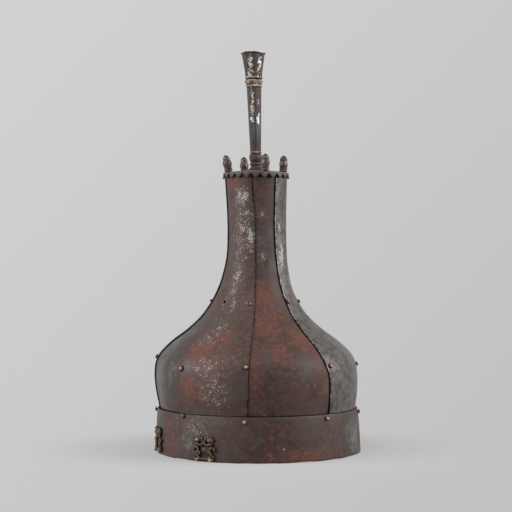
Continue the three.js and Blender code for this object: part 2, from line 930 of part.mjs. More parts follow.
// A stem of the mounts: its flat-backed section carried along a curve in the XY plane, with
// Z away from the band and both ends drawn thinner
function stem(shares) {
  const points = shares.map(
    ([across, up]) => new THREE.Vector2(mountWidth * across, mountHeight * up),
  );
  const steps = Math.max(points.length - 1, stemSteps);
  const curve = new THREE.SplineCurve(points);
  const rings = [];
  for (let i = 0; i <= steps; i++) {
    const along = i / steps;
    const size = lerp(stemTipShare, 1, Math.min(1, Math.min(along, 1 - along) / stemTaperShare));
    const centre = curve.getPoint(along);
    const tangent = curve.getTangent(along);
    rings.push(
      stemSectionShares.map(([across, out]) => {
        const reach = (across * size * mountStemWidth) / 2;
        return new THREE.Vector3(
          centre.x + tangent.y * reach,
          centre.y - tangent.x * reach,
          out * size * mountStemDepth,
        );
      }),
    );
  }
  return sweptSolid(rings);
}

// A closed solid from rings of points, each ring counterclockwise as seen from its front
function sweptSolid(rings) {
  const sides = rings[0].length;
  const corners = [];
  const last = (rings.length - 1) * sides;
  for (let ring = 0; ring < rings.length - 1; ring++) {
    for (let side = 0; side < sides; side++) {
      const a = ring * sides + side;
      const b = ring * sides + ((side + 1) % sides);
      corners.push(a, b, b + sides, a, b + sides, a + sides);
    }
  }
  for (let side = 1; side < sides - 1; side++) {
    corners.push(0, side + 1, side);
    corners.push(last, last + side, last + side + 1);
  }
  const geometry = new THREE.BufferGeometry().setFromPoints(rings.flat());
  geometry.setIndex(corners);
  return geometry;
}

const mirrored = (shares) => shares.map(([across, up]) => [-across, up]);

// A domed boss at the heart of a scroll
function boss([across, up]) {
  const profile = [
    [0, 0],
    ...bossDomeShares.map(([swell, rise]) => [mountBossRadius * swell, mountBossDepth * rise]),
    [0, mountBossDepth],
  ];
  const geometry = turned(profile, mountBossSides);
  return geometry.translate(mountWidth * across, mountHeight * up, 0);
}

// A pin from the mount's back through the band, clenched inside it
function mountPin([across, up]) {
  const clench = -pieceGap * 2 - bandThickness;
  const profile = [
    [0, clench - mountPinPeenDepth],
    [mountPinPeenRadius * peenTipShare, clench - mountPinPeenDepth],
    [mountPinPeenRadius, clench],
    [mountPinRadius, clench],
    [mountPinRadius, mountStemDepth / 2],
    [0, mountStemDepth / 2],
  ];
  const geometry = turned(profile, mountPinSides);
  return geometry.translate(mountWidth * across, mountHeight * up, 0);
}

// Bends a flat piece, X across and Y up with Z outwards, onto the band's face
function bentOntoBand(geometry, azimuth, foot) {
  const places = geometry.attributes.position;
  for (let i = 0; i < places.count; i++) {
    const height = foot + places.getY(i);
    const { radius } = bandFace(height);
    const turn = degToRad(azimuth) + places.getX(i) / bandRimRadius;
    const point = around(radius + pieceGap + places.getZ(i), turn, height);
    places.setXYZ(i, point.x, point.y, point.z);
  }
  return geometry;
}

function browMount([azimuth, footShare]) {
  const halves = [sideStemShares, footStemShares, spurStemShares, leafStemShares];
  const stems = [...halves, ...halves.map(mirrored), bowStemShares, baseStemShares];
  const flat = join([...stems.map(stem), ...bossShares.map(boss), ...pinShares.map(mountPin)]);
  return bentOntoBand(flat, azimuth, bandHeight * footShare);
}

// The band's holes for one mount's pins
function mountPinHoles([azimuth, footShare]) {
  return pinShares.map(([across, up]) => {
    const height = bandHeight * footShare + mountHeight * up;
    const turn = degToRad(azimuth) + (mountWidth * across) / bandRimRadius;
    return bandCutter(mountPinRadius + pieceGap, turn, height);
  });
}

// Shifts a piece sideways by the bowl's lean at each height
function leaned(geometry) {
  const places = geometry.attributes.position;
  for (let i = 0; i < places.count; i++) {
    const lean = bowlLean * leanShare(places.getZ(i) / plateTopHeight);
    places.setX(i, places.getX(i) - lean);
  }
  return geometry;
}

function mesh(name, geometry, finish) {
  const shown = leaned(geometry.index ? geometry.toNonIndexed() : geometry);
  shown.computeVertexNormals();
  const piece = new THREE.Mesh(shown, new THREE.MeshStandardMaterial(finish));
  piece.name = name;
  return piece;
}

function bowl() {
  const group = new THREE.Group();
  for (let number = 0; number < plateCount; number++) {
    const kind = number % 2 ? "raised_plate" : "under_plate";
    const name = `${kind}_${Math.floor(number / 2) + 1}`;
    group.add(mesh(name, plate(number), ironFinish));
  }
  for (const { row, seam, grip, place, outward } of seats) {
    const name = `rivet_${row}_${seam + 1}`;
    if (lostRivets.includes(name)) continue;
    group.add(mesh(name, seated(rivet(grip), place, outward), rivetFinish));
  }
  return group;
}

function band() {
  const group = new THREE.Group();
  group.add(mesh("brow_band", browBand(), bandFinish));
  lapRivetSeats().forEach(({ grip, place, outward }, i) => {
    const name = `lap_rivet_${i + 1}`;
    group.add(mesh(name, seated(rivet(grip), place, outward), rivetFinish));
  });
  mountPlaceShares.forEach((place, i) => {
    group.add(mesh(`brow_mount_${mountPlaceNames[i]}`, browMount(place), giltFinish));
  });
  return group;
}

function crown() {
  const group = new THREE.Group();
  group.add(mesh("crown_cap", crownCap(), bandFinish));
  for (let number = 0; number < knobAzimuths.length; number++) {
    const { place, outward } = knobSeat(number);
    group.add(mesh(`knob_${number + 1}`, seated(knob(), place, outward), knobFinish));
  }
  group.add(mesh("plume_tube", plumeTube(), tubeFinish));
  group.add(mesh("tenon_washer", tenonWasher(), ironFinish));
  return group;
}

const helmet = new THREE.Group();
helmet.add(bowl(), band(), crown());

export default helmet;
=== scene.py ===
# %% [markdown]
# # A tall riveted plate helmet, dressed for its portrait
#
# The real object is a bottle-shaped iron helmet. Eight plates are drawn up from a round bowl into a
# long neck, a brow band goes round the rim, a toothed cap with four buds closes the neck, and an
# eight-sided tube for a plume stands on top. The CAD model holds these solids in flat facets. This
# script puts smooth, hammered and rusted pieces in their places, stands them on a pale floor and
# looks at them from where the photograph was taken.
#
# It is a lesson in cells. A text cell says what a piece is and how it could be made, and the short
# code cells after it make the piece and print what came out.

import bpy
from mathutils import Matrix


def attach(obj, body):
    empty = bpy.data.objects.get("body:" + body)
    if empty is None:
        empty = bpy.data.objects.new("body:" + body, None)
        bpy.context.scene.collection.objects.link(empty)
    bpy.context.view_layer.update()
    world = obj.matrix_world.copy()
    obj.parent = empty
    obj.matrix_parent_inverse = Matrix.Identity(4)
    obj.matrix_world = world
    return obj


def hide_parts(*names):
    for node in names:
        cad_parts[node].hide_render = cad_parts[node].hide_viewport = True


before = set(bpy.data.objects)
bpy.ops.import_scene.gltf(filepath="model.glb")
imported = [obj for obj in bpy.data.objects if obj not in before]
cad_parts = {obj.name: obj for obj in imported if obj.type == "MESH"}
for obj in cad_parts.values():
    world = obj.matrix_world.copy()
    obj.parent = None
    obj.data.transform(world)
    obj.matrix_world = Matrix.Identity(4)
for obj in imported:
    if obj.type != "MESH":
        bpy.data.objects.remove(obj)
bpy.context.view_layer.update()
print("CAD nodes:", len(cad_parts))

# %% Modules and the millimetre
import math
import random
from bisect import bisect_right
from functools import partial

import bpy
import numpy as np
from mathutils import Matrix, Vector, noise

MM = 0.001  # Blender works in metres, the smith and this script in millimetres

# %% [markdown]
# ## Camera
#
# The rim and the crown cap both show as flat ellipses, one from above and one nearly edge on. Their
# openings put the eye 204.5 mm above the rim and about 1.6 m away, looking level. A long lens from
# there gives 1.06 mm to a pixel at the helmet's middle.

# %% Set the camera where the photograph's was
FOCAL_PIXELS, PICTURE_PIXELS = 1500, 512
SENSOR_WIDTH = 36
EYE = (-2.9, -1590, 204.5)
camera_data = bpy.data.cameras.new("portrait_camera")
camera_data.sensor_width = SENSOR_WIDTH
camera_data.lens = SENSOR_WIDTH * FOCAL_PIXELS / PICTURE_PIXELS
camera_data.shift_y = 1 / PICTURE_PIXELS
camera = bpy.data.objects.new("portrait_camera", camera_data)
camera.location = Vector(EYE) * MM
camera.rotation_euler = (math.radians(90), 0, 0)
bpy.context.scene.collection.objects.link(camera)
bpy.context.scene.camera = camera
bpy.context.scene.view_settings.view_transform = "Standard"
print("lens:", round(camera_data.lens, 1), "mm")

# %% [markdown]
# ## Colours and nodes
#
# A colour read off a screen is an sRGB value, and shaders work in linear light, so one function
# turns hex values into linear ones. One more function adds any node. What a node does is written
# down once, as a recipe: its kind, its settings, the output that is used, and the sockets that
# values go to.


# %% Colours, and one function for every node
def colour(hex_value):
    """An sRGB hex value as linear red, green, blue and alpha."""
    channels = [(hex_value >> shift & 255) / 255 for shift in (16, 8, 0)]
    return [c / 12.92 if c <= 0.04045 else ((c + 0.055) / 1.055) ** 2.4 for c in channels] + [1]


def add_node(tree, recipe, *values, **more_settings):
    """Adds the node of a recipe, puts the values into its sockets in the recipe's order and returns
    its output. A value may be another node's output."""
    kind, settings, output, *sockets = recipe
    node = tree.nodes.new(kind)
    for name, value in {**settings, **more_settings}.items():
        setattr(node, name, value)
    for name, value in zip(sockets, values):
        if isinstance(value, bpy.types.NodeSocket):
            tree.links.new(value, node.inputs[name])
        else:
            node.inputs[name].default_value = value
    return node.outputs[output] if node.outputs else None


def own_nodes(owner):
    """The node tree of a material or a world, emptied."""
    owner.use_nodes = True
    owner.node_tree.nodes.clear()
    return owner.node_tree


# %% Recipes that several materials share
PLACE = ("ShaderNodeTexCoord", {}, "Object")
NOISE = ("ShaderNodeTexNoise", {}, 0, "Vector", "Scale", "Detail", "Roughness")
PAINTED = ("ShaderNodeAttribute", {}, "Fac")
TIMES = ("ShaderNodeMath", {"operation": "MULTIPLY"}, 0, 0, 1)
WEIGH = ("ShaderNodeMath", {"operation": "MULTIPLY_ADD"}, 0, 0, 1, 2)  # value, factor, extra
LARGER = ("ShaderNodeMath", {"operation": "MAXIMUM"}, 0, 0, 1)
RANGE_SOCKETS = ("Value", "From Min", "From Max", "To Max")
EVEN = ("ShaderNodeMapRange", {}, 0, *RANGE_SOCKETS)
# 0 below low and 1, or what is given, above high. With low above high it falls.
SMOOTH = ("ShaderNodeMapRange", {"interpolation_type": "SMOOTHSTEP"}, 0, *RANGE_SOCKETS)
LAYER = ("ShaderNodeMix", {"data_type": "RGBA"}, 2, 0, 6, 7)  # share, colour under, colour over
BUMP = ("ShaderNodeBump", {}, 0, "Height", "Distance", "Strength")
SHADER_SOCKETS = ("Base Color", "Roughness", "Metallic", "Specular IOR Level", "Normal")
SHADER = ("ShaderNodeBsdfPrincipled", {}, 0, *SHADER_SOCKETS)
SURFACE = ("ShaderNodeOutputMaterial", {}, None, "Surface")
BLENDED = ("ShaderNodeMixShader", {}, 0, 0, 1, 2)

# %% [markdown]
# ## Floor, backdrop and light
#
# Museum photographs of armour are taken on seamless grey paper under two broad soft boxes, one at
# each side, so that the front stays a little darker. A small one above gives the shoulder its
# glint. The world stands for the room: it fills in softly, and camera, glossy and transmission rays
# see it as the grey paper. The floor, made last, is a disc of the same grey that keeps the helmet's
# shadow and fades out into the paper before its edge.

# %% The room's fill light and the grey paper
# The paper is painted lighter to the left and darker to the right, as painted shade falling across
# it
PAPER_LEFT, PAPER_RIGHT = 0xD0D0D0, 0xC2C2C2
PAPER_SPAN = 0.26  # how far off straight ahead the paper reaches its end colours
FILL_STRENGTH = 0.34
BACKGROUND = ("ShaderNodeBackground", {}, 0, "Strength", "Color")
ALONG = ("ShaderNodeVectorMath", {"operation": "DOT_PRODUCT"}, "Value", 0, 1)
world = bpy.data.worlds.new("studio_room")
bpy.context.scene.world = world
tree = own_nodes(world)
direction = add_node(tree, ("ShaderNodeTexCoord", {}, "Generated"))
slant = add_node(tree, ALONG, direction, (1, 0, -1))  # to the right and down
side = add_node(tree, EVEN, slant, -PAPER_SPAN, PAPER_SPAN)
paper = add_node(tree, LAYER, side, colour(PAPER_LEFT), colour(PAPER_RIGHT))
seen = 0
for ray in ("Is Camera Ray", "Is Glossy Ray", "Is Transmission Ray"):
    seen = add_node(tree, LARGER, seen, add_node(tree, ("ShaderNodeLightPath", {}, ray)))
fill = add_node(tree, BACKGROUND, FILL_STRENGTH)
shown = add_node(tree, BACKGROUND, 1, paper)
room = add_node(tree, BLENDED, seen, fill, shown)
add_node(tree, ("ShaderNodeOutputWorld", {}, None, "Surface"), room)
print("world nodes:", len(tree.nodes))

# %% Two broad soft boxes at the sides and a small one above
# Name, place, height of the point it is aimed at, size and power, in metres and watts
SOFT_BOXES = [
    ("soft_box_left", (-1.6, -0.5, 0.8), 0.2, 1.5, 25.5),
    ("soft_box_right", (1.6, -0.3, 0.9), 0.2, 1.5, 32),
    ("soft_box_top", (-0.35, -0.9, 1.5), 0.3, 0.5, 4),
]
for name, place, aim_height, size, power in SOFT_BOXES:
    lamp = bpy.data.lights.new(name, "AREA")
    lamp.size = size
    lamp.energy = power
    box = bpy.data.objects.new(name, lamp)
    box.location = place
    aim = Vector((0, 0, aim_height)) - Vector(place)
    box.rotation_euler = aim.to_track_quat("-Z", "Y").to_euler()
    bpy.context.scene.collection.objects.link(box)
print("soft boxes:", len(SOFT_BOXES))

# %% [markdown]
# ## Patina
#
# The plates are wrought iron, forged and planished, then left for centuries under wax and handling.
# What the eye sees is not bare metal but layers: a brown oxide skin, blue-grey islands where it wore
# down to the metal, red-brown rust in patches, pale flecks of corrosion, black in the crevices,
# painted as dirt and as shade, and light edges, painted as wear and as a glint. One function builds
# that surface. It reads six values painted on each piece and lets noise of six real sizes, from 30
# mm blotches to 1 mm crumbs, break up their outlines.

# %% Sizes of the noise, and colours that all the iron shares
# Width of the lumps in millimetres, detail, start, and how much flatter they are than wide. The
# finest are about a pixel of the picture wide, since anything smaller would blur away.
IRON_NOISE = [
    (30, 5, (0, 0, 0), 1),  # blotches in the oxide skin
    (15, 5, (0.3, 0.1, 0.2), 1),  # clouds where it is thin
    (5, 5, (0.1, 0.4, 0), 1),  # mottling
    (1.5, 3, (0, 0.2, 0.5), 1),  # grain
    (1.1, 3, (0.7, 0.2, 0.1), 1),  # crumbs of corrosion
    (7, 3, (0.2, 0.6, 0.3), 9),  # level strokes left by cleaning
]
NOISE_ROUGHNESS = 0.62
RELIEF_DEPTH, RELIEF_STRENGTH = 0.25, 0.5
SHEET_FLAKE, SHEET_START = 2.6, (0.9, 0.3, 0.6)  # flakes of silver sheet, on the tube only
SHIFTED = ("ShaderNodeMapping", {}, 0, "Vector", "Location", "Scale")
PATINA_LAYERS = ("rust", "steel", "flecks", "edge_mm", "crevice_mm", "wear_and_glint_amount")
GREY_OXIDE, EMBER_RUST, DIRT_AND_SHADE, BLACK_DIRT_AND_SHADE = 0x4A4946, 0x85503F, 0x2A211E, 0x0C0908
WORN_STEEL, PALE_GRAIN, PALE_DUST, PALE_FLECK = 0x4B4B48, 0x8D7E78, 0x9C918C, 0xC9C4C0
DULL_SILVER = 0x8F8782


# %% The layered surface of old iron
def old_iron(
    name, skin, skin_deep, rust, steel, rust_bias=0.0, steel_bias=0.0, roughness=0.5, shine=0.25,
    worn=0xB0A6A1, sheathing=None,
):
    """Wrought iron under brown patina. The biases move a whole piece towards rust or bare metal.
    Shine is how much its wax reflects, worn the colour of light edges, painted as wear and as a
    glint, and sheathing that of a metal sheet, left where silver is painted."""
    material = bpy.data.materials.new(name)
    node = partial(add_node, own_nodes(material))
    place = node(PLACE)
    patterns = []
    for size, detail, start, flatter in IRON_NOISE:
        moved = node(SHIFTED, place, start, (1, 1, flatter))
        patterns.append(node(NOISE, moved, 1 / (size * MM), detail, NOISE_ROUGHNESS))
    blotch, cloud, mottle, grain, crumbs, strokes = patterns
    rusted, bared, flecks, from_edge, from_crevice, wear_and_glint = [
        node(PAINTED, attribute_name=layer) for layer in PATINA_LAYERS
    ]

    # Where each layer lies: what is painted, broken up by the noise
    rust_raw = node(WEIGH, mottle, 1.5, node(WEIGH, rusted, 0.9, rust_bias))
    rust_share = node(SMOOTH, node(WEIGH, blotch, 1.3, rust_raw), 1.25, 2.35)
    steel_raw = node(WEIGH, mottle, 1.2, node(WEIGH, bared, 0.95, steel_bias))
    steel_raw = node(WEIGH, cloud, 1.2, steel_raw)
    steel_share = node(SMOOTH, steel_raw, 1.2, 2.2)
    fleck_raw = node(WEIGH, crumbs, 1.7, node(WEIGH, mottle, 0.8, node(TIMES, flecks, 0.36)))
    fleck_share = node(SMOOTH, fleck_raw, 1.68, 1.76)
    edge_share = node(SMOOTH, node(WEIGH, grain, 1.2, from_edge), 1.8, 0.9)
    edge_share = node(TIMES, edge_share, node(SMOOTH, mottle, 0.38, 0.56))
    crevice_raw = node(WEIGH, mottle, 1.6, node(WEIGH, grain, 0.5, from_crevice))

    # The layers, one over another
    tone = colour(skin)
    for share, over in (
        (node(SMOOTH, blotch, 0.36, 0.64), skin_deep),
        (node(SMOOTH, cloud, 0.46, 0.62, 0.55), GREY_OXIDE),
        (rust_share, rust),
        (node(TIMES, rust_share, node(SMOOTH, mottle, 0.48, 0.7)), EMBER_RUST),
        (node(SMOOTH, grain, 0.48, 0.7, 0.6), DIRT_AND_SHADE),
        (steel_share, WORN_STEEL),
        (node(SMOOTH, strokes, 0.5, 0.68, 0.3), DIRT_AND_SHADE),
        (node(SMOOTH, steel_raw, 1.75, 2.2, 0.85), steel),
        (node(SMOOTH, crumbs, 0.44, 0.3, 0.22), PALE_GRAIN),
        (node(TIMES, flecks, node(SMOOTH, grain, 0.42, 0.62, 0.3)), PALE_DUST),
        (node(TIMES, fleck_share, 0.9), PALE_FLECK),
        # Darker towards edges: dirt, and painted shade on an under plate where it runs in beneath
        # its raised neighbour's edge
        (node(SMOOTH, node(WEIGH, mottle, -2.4, from_edge), 1.2, -1.3, 0.8), DIRT_AND_SHADE),
        # Light edges: wear, and a painted glint along the raised plates' edges
        (node(TIMES, edge_share, wear_and_glint), worn),
        # Black: dirt, and painted shade in the seams' gaps, grooves and recesses
        (node(SMOOTH, crevice_raw, 1.3, 1.0, 0.93), BLACK_DIRT_AND_SHADE),
    ):
        tone = node(LAYER, share, tone, colour(over))

    metal = node(TIMES, steel_share, 0.4)
    gloss = node(WEIGH, rust_share, 0.15, node(WEIGH, mottle, 0.35, roughness - 0.17))
    gloss = node(WEIGH, steel_share, -0.12, gloss)
    if sheathing:
        moved = node(SHIFTED, place, SHEET_START)
        flakes = node(NOISE, moved, 1 / (SHEET_FLAKE * MM), 3, NOISE_ROUGHNESS)
        silver_raw = node(TIMES, node(PAINTED, attribute_name="silver"), 0.75)
        silver_raw = node(WEIGH, flakes, 2.2, node(WEIGH, crumbs, 0.9, silver_raw))
        silver_share = node(SMOOTH, silver_raw, 2.14, 2.26)
        polish = node(SMOOTH, mottle, 0.4, 0.6)
        silver = node(LAYER, polish, colour(DULL_SILVER), colour(sheathing))
        tone = node(LAYER, silver_share, tone, silver)
        metal = node(WEIGH, silver_share, 0.7, node(TIMES, metal, 0.5))
        gloss = node(WEIGH, silver_share, -0.12, gloss)
    relief = node(WEIGH, grain, 0.6, node(WEIGH, mottle, 1.0, rust_share))
    relief = node(WEIGH, fleck_share, 0.35, relief)
    bump = node(BUMP, relief, RELIEF_DEPTH * MM, RELIEF_STRENGTH)
    node(SURFACE, node(SHADER, tone, gloss, metal, shine, bump))
    return material


# %% The plates' and the band's iron
# The bowl: a red-brown skin that shows clear patches of rust and of bare metal
plate_iron = old_iron("forged_iron_under_brown_patina", 0x563F38, 0x3C2D29, 0x72463B, 0x6F6864)
# The band: much the same skin, with less bare metal showing through
band_iron = old_iron(
    "brow_band_iron_dark_patina", 0x523F37, 0x3C2E2A, 0x66413A, 0x766F6B, steel_bias=-0.15
)
print("iron nodes:", len(plate_iron.node_tree.nodes))

# %% [markdown]
# ## The outline and the seams
#
# Every plate follows one outline, from the foot inside the band over the bulge and up the neck, and
# eight seams that sway round the bowl with height. The CAD was drawn from short tables of points
# with a smooth curve through them. The same tables here give the same shape without its facets.


# %% A smooth curve through a few points
def smooth_through(pairs):
    """The value at any place on a cubic curve through (place, value) pairs, flat beyond its ends."""
    places, values = zip(*pairs)

    def value_at(place):
        if place <= places[0]:
            return values[0]
        if place >= places[-1]:
            return values[-1]
        end = bisect_right(places, place)
        start = end - 1
        before = start - 1 if start > 0 else end
        after = end + 1 if end + 1 < len(places) else start
        half_step = (places[end] - places[start]) / 2
        half_rise = (values[end] - values[start]) / 2
        slope_in = half_step / (places[start] - places[before]) * (values[start] - values[before])
        slope_out = half_step / (places[after] - places[end]) * (values[after] - values[end])
        slope_in += half_rise
        slope_out += half_rise
        share = (place - places[start]) / (places[end] - places[start])
        return (
            ((2 * share - 3) * share * share + 1) * values[start]
            + ((share - 2) * share + 1) * share * slope_in
            + (3 - 2 * share) * share * share * values[end]
            + (share - 1) * share * share * slope_out
        )

    return value_at


def blend(start, end, share):
    return start + (end - start) * share


def profile(shares, start_radius, end_radius, foot, length):
    """Outline points from (rise, reach) shares of a length and of the way between two radii."""
    return [
        (blend(start_radius, end_radius, reach), foot + length * rise) for rise, reach in shares
    ]


# %% The bowl's outline
PIECE_GAP = 0.3
PLATE_THICKNESS = 1.0
FOOT_HEIGHT, FOOT_RADIUS = 34, 103.8
BULGE_HEIGHT, BULGE_RADIUS = 78, 107.3
NECK_HEIGHT, NECK_RADIUS = 204, 32.3
WAIST_HEIGHT, WAIST_RADIUS = 240.1, 31.3
TOP_HEIGHT, TOP_RADIUS = 292, 33.3
BULGE_SHARES = [(0, 0), (0.32, 0.06), (0.6, 0.62), (1, 1)]
SHOULDER_SHARES = [
    (0.13, 0.977), (0.2, 0.919), (0.3, 0.752), (0.4, 0.528), (0.5, 0.343), (0.6, 0.218),
    (0.75, 0.092), (0.9, 0.027),
]
bulge_rise, shoulder_rise = BULGE_HEIGHT - FOOT_HEIGHT, NECK_HEIGHT - BULGE_HEIGHT
bowl_outline = profile(BULGE_SHARES, FOOT_RADIUS, BULGE_RADIUS, FOOT_HEIGHT, bulge_rise)
bowl_outline += profile(SHOULDER_SHARES, NECK_RADIUS, BULGE_RADIUS, BULGE_HEIGHT, shoulder_rise)
bowl_outline += [(NECK_RADIUS, NECK_HEIGHT), (WAIST_RADIUS, WAIST_HEIGHT)]
bowl_outline.append((TOP_RADIUS, TOP_HEIGHT))
plate_radius = smooth_through([(height, radius) for radius, height in bowl_outline])
print("radius at the shoulder:", round(plate_radius(130), 1), "mm")

# %% The seams and the lean of the hand-made bowl
SEAM_DEGREES = [-83.5, -46.5, -3.5, 44.5, 87, 132, 179, 228]
SEAM_COUNT = len(SEAM_DEGREES)
seam_sway = smooth_through(
    [(0, -3), (0.155, -2.2), (0.31, 0), (0.52, 1.8), (0.7, 0.4), (0.8, -0.4), (1, -3.6)]
)
# How far the three front seams stray from that sway, in degrees at shares of the height
FRONT_STRAYS = {
    1: [(0.17, 1), (0.3, 0), (0.54, -2.5), (0.75, 0)],
    2: [
        (0.17, 0), (0.38, -0.3), (0.45, 0.2), (0.52, 1.6), (0.58, 2.4), (0.64, 1.4), (0.7, 0.4),
        (0.82, 0.4), (0.9, -0.5), (1, -1.5),
    ],
    3: [
        (0.17, 2), (0.22, 1.5), (0.27, 0.8), (0.3, -0.3), (0.33, -2.1), (0.37, -2.7), (0.42, -2.2),
        (0.46, -0.8), (0.52, -0.4), (0.6, -0.6), (0.66, -3), (0.74, -5.9), (0.82, -6.6),
        (0.9, -4.6), (1, -2.4),
    ],
}
seam_strays = {seam: smooth_through(pairs) for seam, pairs in FRONT_STRAYS.items()}
BOWL_LEAN = 4.8
lean_share = smooth_through(
    [
        (0, 0), (0.16, 0.3), (0.27, 0.62), (0.38, 0.8), (0.47, 0.92), (0.58, 0.85), (0.7, 0.45),
        (1, 0.6), (1.44, 1.22),
    ]
)


def seam_azimuth(seam, height):
    """Degrees from the front towards the wearer's left. Seam numbers run on past one turn."""
    turns, number = divmod(seam, SEAM_COUNT)
    rise = height / TOP_HEIGHT
    stray = seam_strays[number](rise) if number in seam_strays else 0
    return SEAM_DEGREES[number] + 360 * turns + seam_sway(rise) + stray


def around(radius, azimuth, height):
    """Point at a radius, azimuth in degrees and height, in millimetres."""
    turn = math.radians(azimuth)
    return Vector((radius * math.sin(turn), -radius * math.cos(turn), height))


print("middle seam at the foot:", round(seam_azimuth(2, FOOT_HEIGHT), 1), "degrees")

# %% [markdown]
# ## Working by hand
#
# A few helpers keep the modelling short. Everything is deselected before a new piece starts, an
# outline is one vertex extruded from point to point, and spinning it about the helmet's axis gives
# a sheet. Painting writes a number on every vertex for the materials to read. Pieces are modelled
# upright, and each leans with the bowl when it is finished.


# %% Helpers for selecting and for modifiers
def start_clean():
    """Object mode with nothing selected."""
    if bpy.context.mode != "OBJECT":
        bpy.ops.object.mode_set(mode="OBJECT")
    bpy.ops.object.select_all(action="DESELECT")


def pick(piece):
    """Makes a piece the only selected and active one."""
    start_clean()
    piece.select_set(True)
    bpy.context.view_layer.objects.active = piece


def edit_all(piece):
    """Edit mode on one piece with its whole mesh selected."""
    pick(piece)
    bpy.ops.object.mode_set(mode="EDIT")
    bpy.ops.mesh.select_all(action="SELECT")


def apply_modifier(piece, kind, **settings):
    """Adds a modifier with its settings and applies it."""
    pick(piece)
    bpy.ops.object.modifier_add(type=kind)
    modifier = piece.modifiers[-1]
    for name, value in settings.items():
        setattr(modifier, name, value)
    bpy.ops.object.modifier_apply(modifier=modifier.name)


def duplicate(piece, name):
    """A copy with its own mesh."""
    copy = piece.copy()
    copy.data = piece.data.copy()
    copy.name = copy.data.name = name
    bpy.context.scene.collection.objects.link(copy)
    return copy


# %% Helpers that read and write places
def places_of(piece):
    """The piece's vertices in millimetres, a row each."""
    flat = np.empty(len(piece.data.vertices) * 3, np.float32)
    piece.data.vertices.foreach_get("co", flat)
    return flat.reshape(-1, 3).astype(float) / MM


def put_places(piece, places):
    piece.data.vertices.foreach_set("co", (places * MM).astype(np.float32).ravel())
    piece.data.update()


def azimuths_of(places):
    """Degrees from the front, from -180 to 180."""
    return np.degrees(np.arctan2(places[:, 0], -places[:, 1]))


def reaches_of(places):
    """Distances from the helmet's axis."""
    return np.hypot(places[:, 0], places[:, 1])


def turns_from(azimuth, azimuths):
    """Degrees from one azimuth to others, the short way round."""
    return (azimuths - azimuth + 180) % 360 - 180


def paint(piece, layer, values):
    """Writes one number on every vertex."""
    made = piece.data.attributes.new(layer, "FLOAT", "POINT")
    made.data.foreach_set("value", np.asarray(values, np.float32))


def set_square(piece, place, outward, own_turn=0.0):
    """Moves a mesh made round the origin to a place, with its Z axis turned outward."""
    seat = Vector((0, 0, 1)).rotation_difference(outward).to_matrix().to_4x4()
    spin_angle = Matrix.Rotation(own_turn, 4, "Z")
    piece.data.transform(Matrix.Translation(place * MM) @ seat @ spin_angle)


def lean_over(piece):
    """Shifts a piece sideways by the bowl's lean at each height."""
    places = places_of(piece)
    places[:, 0] -= BOWL_LEAN * np.array([lean_share(z / TOP_HEIGHT) for z in places[:, 2]])
    put_places(piece, places)


# %% Helpers for outlines and sheets
def draw_outline(name, points, azimuth=90):
    """One vertex extruded through (radius, height) points in the plane of that azimuth."""
    start_clean()
    bpy.ops.mesh.primitive_plane_add(size=MM)
    piece = bpy.context.object
    piece.name = piece.data.name = name
    edit_all(piece)
    bpy.context.tool_settings.mesh_select_mode = (True, False, False)
    bpy.ops.mesh.select_all(action="SELECT")
    bpy.ops.mesh.merge(type="CENTER")
    here = around(points[0][0], azimuth, points[0][1]) * MM
    bpy.ops.transform.translate(value=here)
    for radius, height in points[1:]:
        there = around(radius, azimuth, height) * MM
        bpy.ops.mesh.extrude_vertices_move(TRANSFORM_OT_translate={"value": there - here})
        here = there
    start_clean()
    return piece


def spin(piece, degrees, steps):
    """Spins an outline about the helmet's axis and stays in edit mode."""
    edit_all(piece)
    bpy.ops.mesh.spin(steps=steps, angle=math.radians(degrees), center=(0, 0, 0), axis=(0, 0, 1))


def spin_sheet(piece, degrees, steps):
    """Spins an outline, closes the seam and turns the faces outwards."""
    spin(piece, degrees, steps)
    bpy.ops.mesh.select_all(action="SELECT")
    bpy.ops.mesh.remove_doubles(threshold=0.002 * MM)
    bpy.ops.mesh.normals_make_consistent(inside=False)
    start_clean()


def face_outwards(piece):
    """Flips an open sheet whose faces look at the helmet's axis."""
    looks_out = sum(
        (face.normal.x * face.center.x + face.normal.y * face.center.y) * face.area
        for face in piece.data.polygons
    )
    if looks_out < 0:
        edit_all(piece)
        bpy.ops.mesh.flip_normals()
        start_clean()


# %% Helpers that dent, thicken, break edges and finish
def dent(piece, texture, depth, middle):
    """Shallow dents from a noise texture. The higher the middle, up to 1, the more go inwards."""
    apply_modifier(
        piece,
        "DISPLACE",
        texture=texture,
        texture_coords="LOCAL",
        mid_level=middle,
        strength=depth * MM,
    )


def thicken(piece, thickness):
    """Gives a sheet its thickness, inwards."""
    apply_modifier(
        piece, "SOLIDIFY", thickness=thickness * MM, offset=-1, use_even_offset=True
    )


def break_edges(piece, width, segments=2, sharper_than=60):
    """Rounds the edges that are sharper than some degrees."""
    apply_modifier(
        piece,
        "BEVEL",
        width=width * MM,
        segments=segments,
        limit_method="ANGLE",
        angle_limit=math.radians(sharper_than),
    )


def finish_piece(piece, node, material, crease=38):
    """Leans a piece with the bowl, shades it smooth up to an angle, gives it its material, attaches
    it to the root body and hides the CAD node that it stands for."""
    lean_over(piece)
    pick(piece)
    bpy.ops.object.shade_smooth_by_angle(angle=math.radians(crease))
    piece.data.materials.clear()
    piece.data.materials.append(material)
    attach(piece, "root")
    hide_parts(node)
    start_clean()
    print("finished", node, "with", len(piece.data.polygons), "faces")


# %% [markdown]
# ## Patches of rust, steel and flecks
#
# On the real bowl the patches have their places: red rust to the left of the middle seam and along
# the right one, bare grey on the side plates, pale flecks down the front left. They are brushed on
# as soft ovals, given by azimuth, height, half width, half height and strength. The sides that the
# photograph doesn't show get ovals of the same kind from a seeded draw.

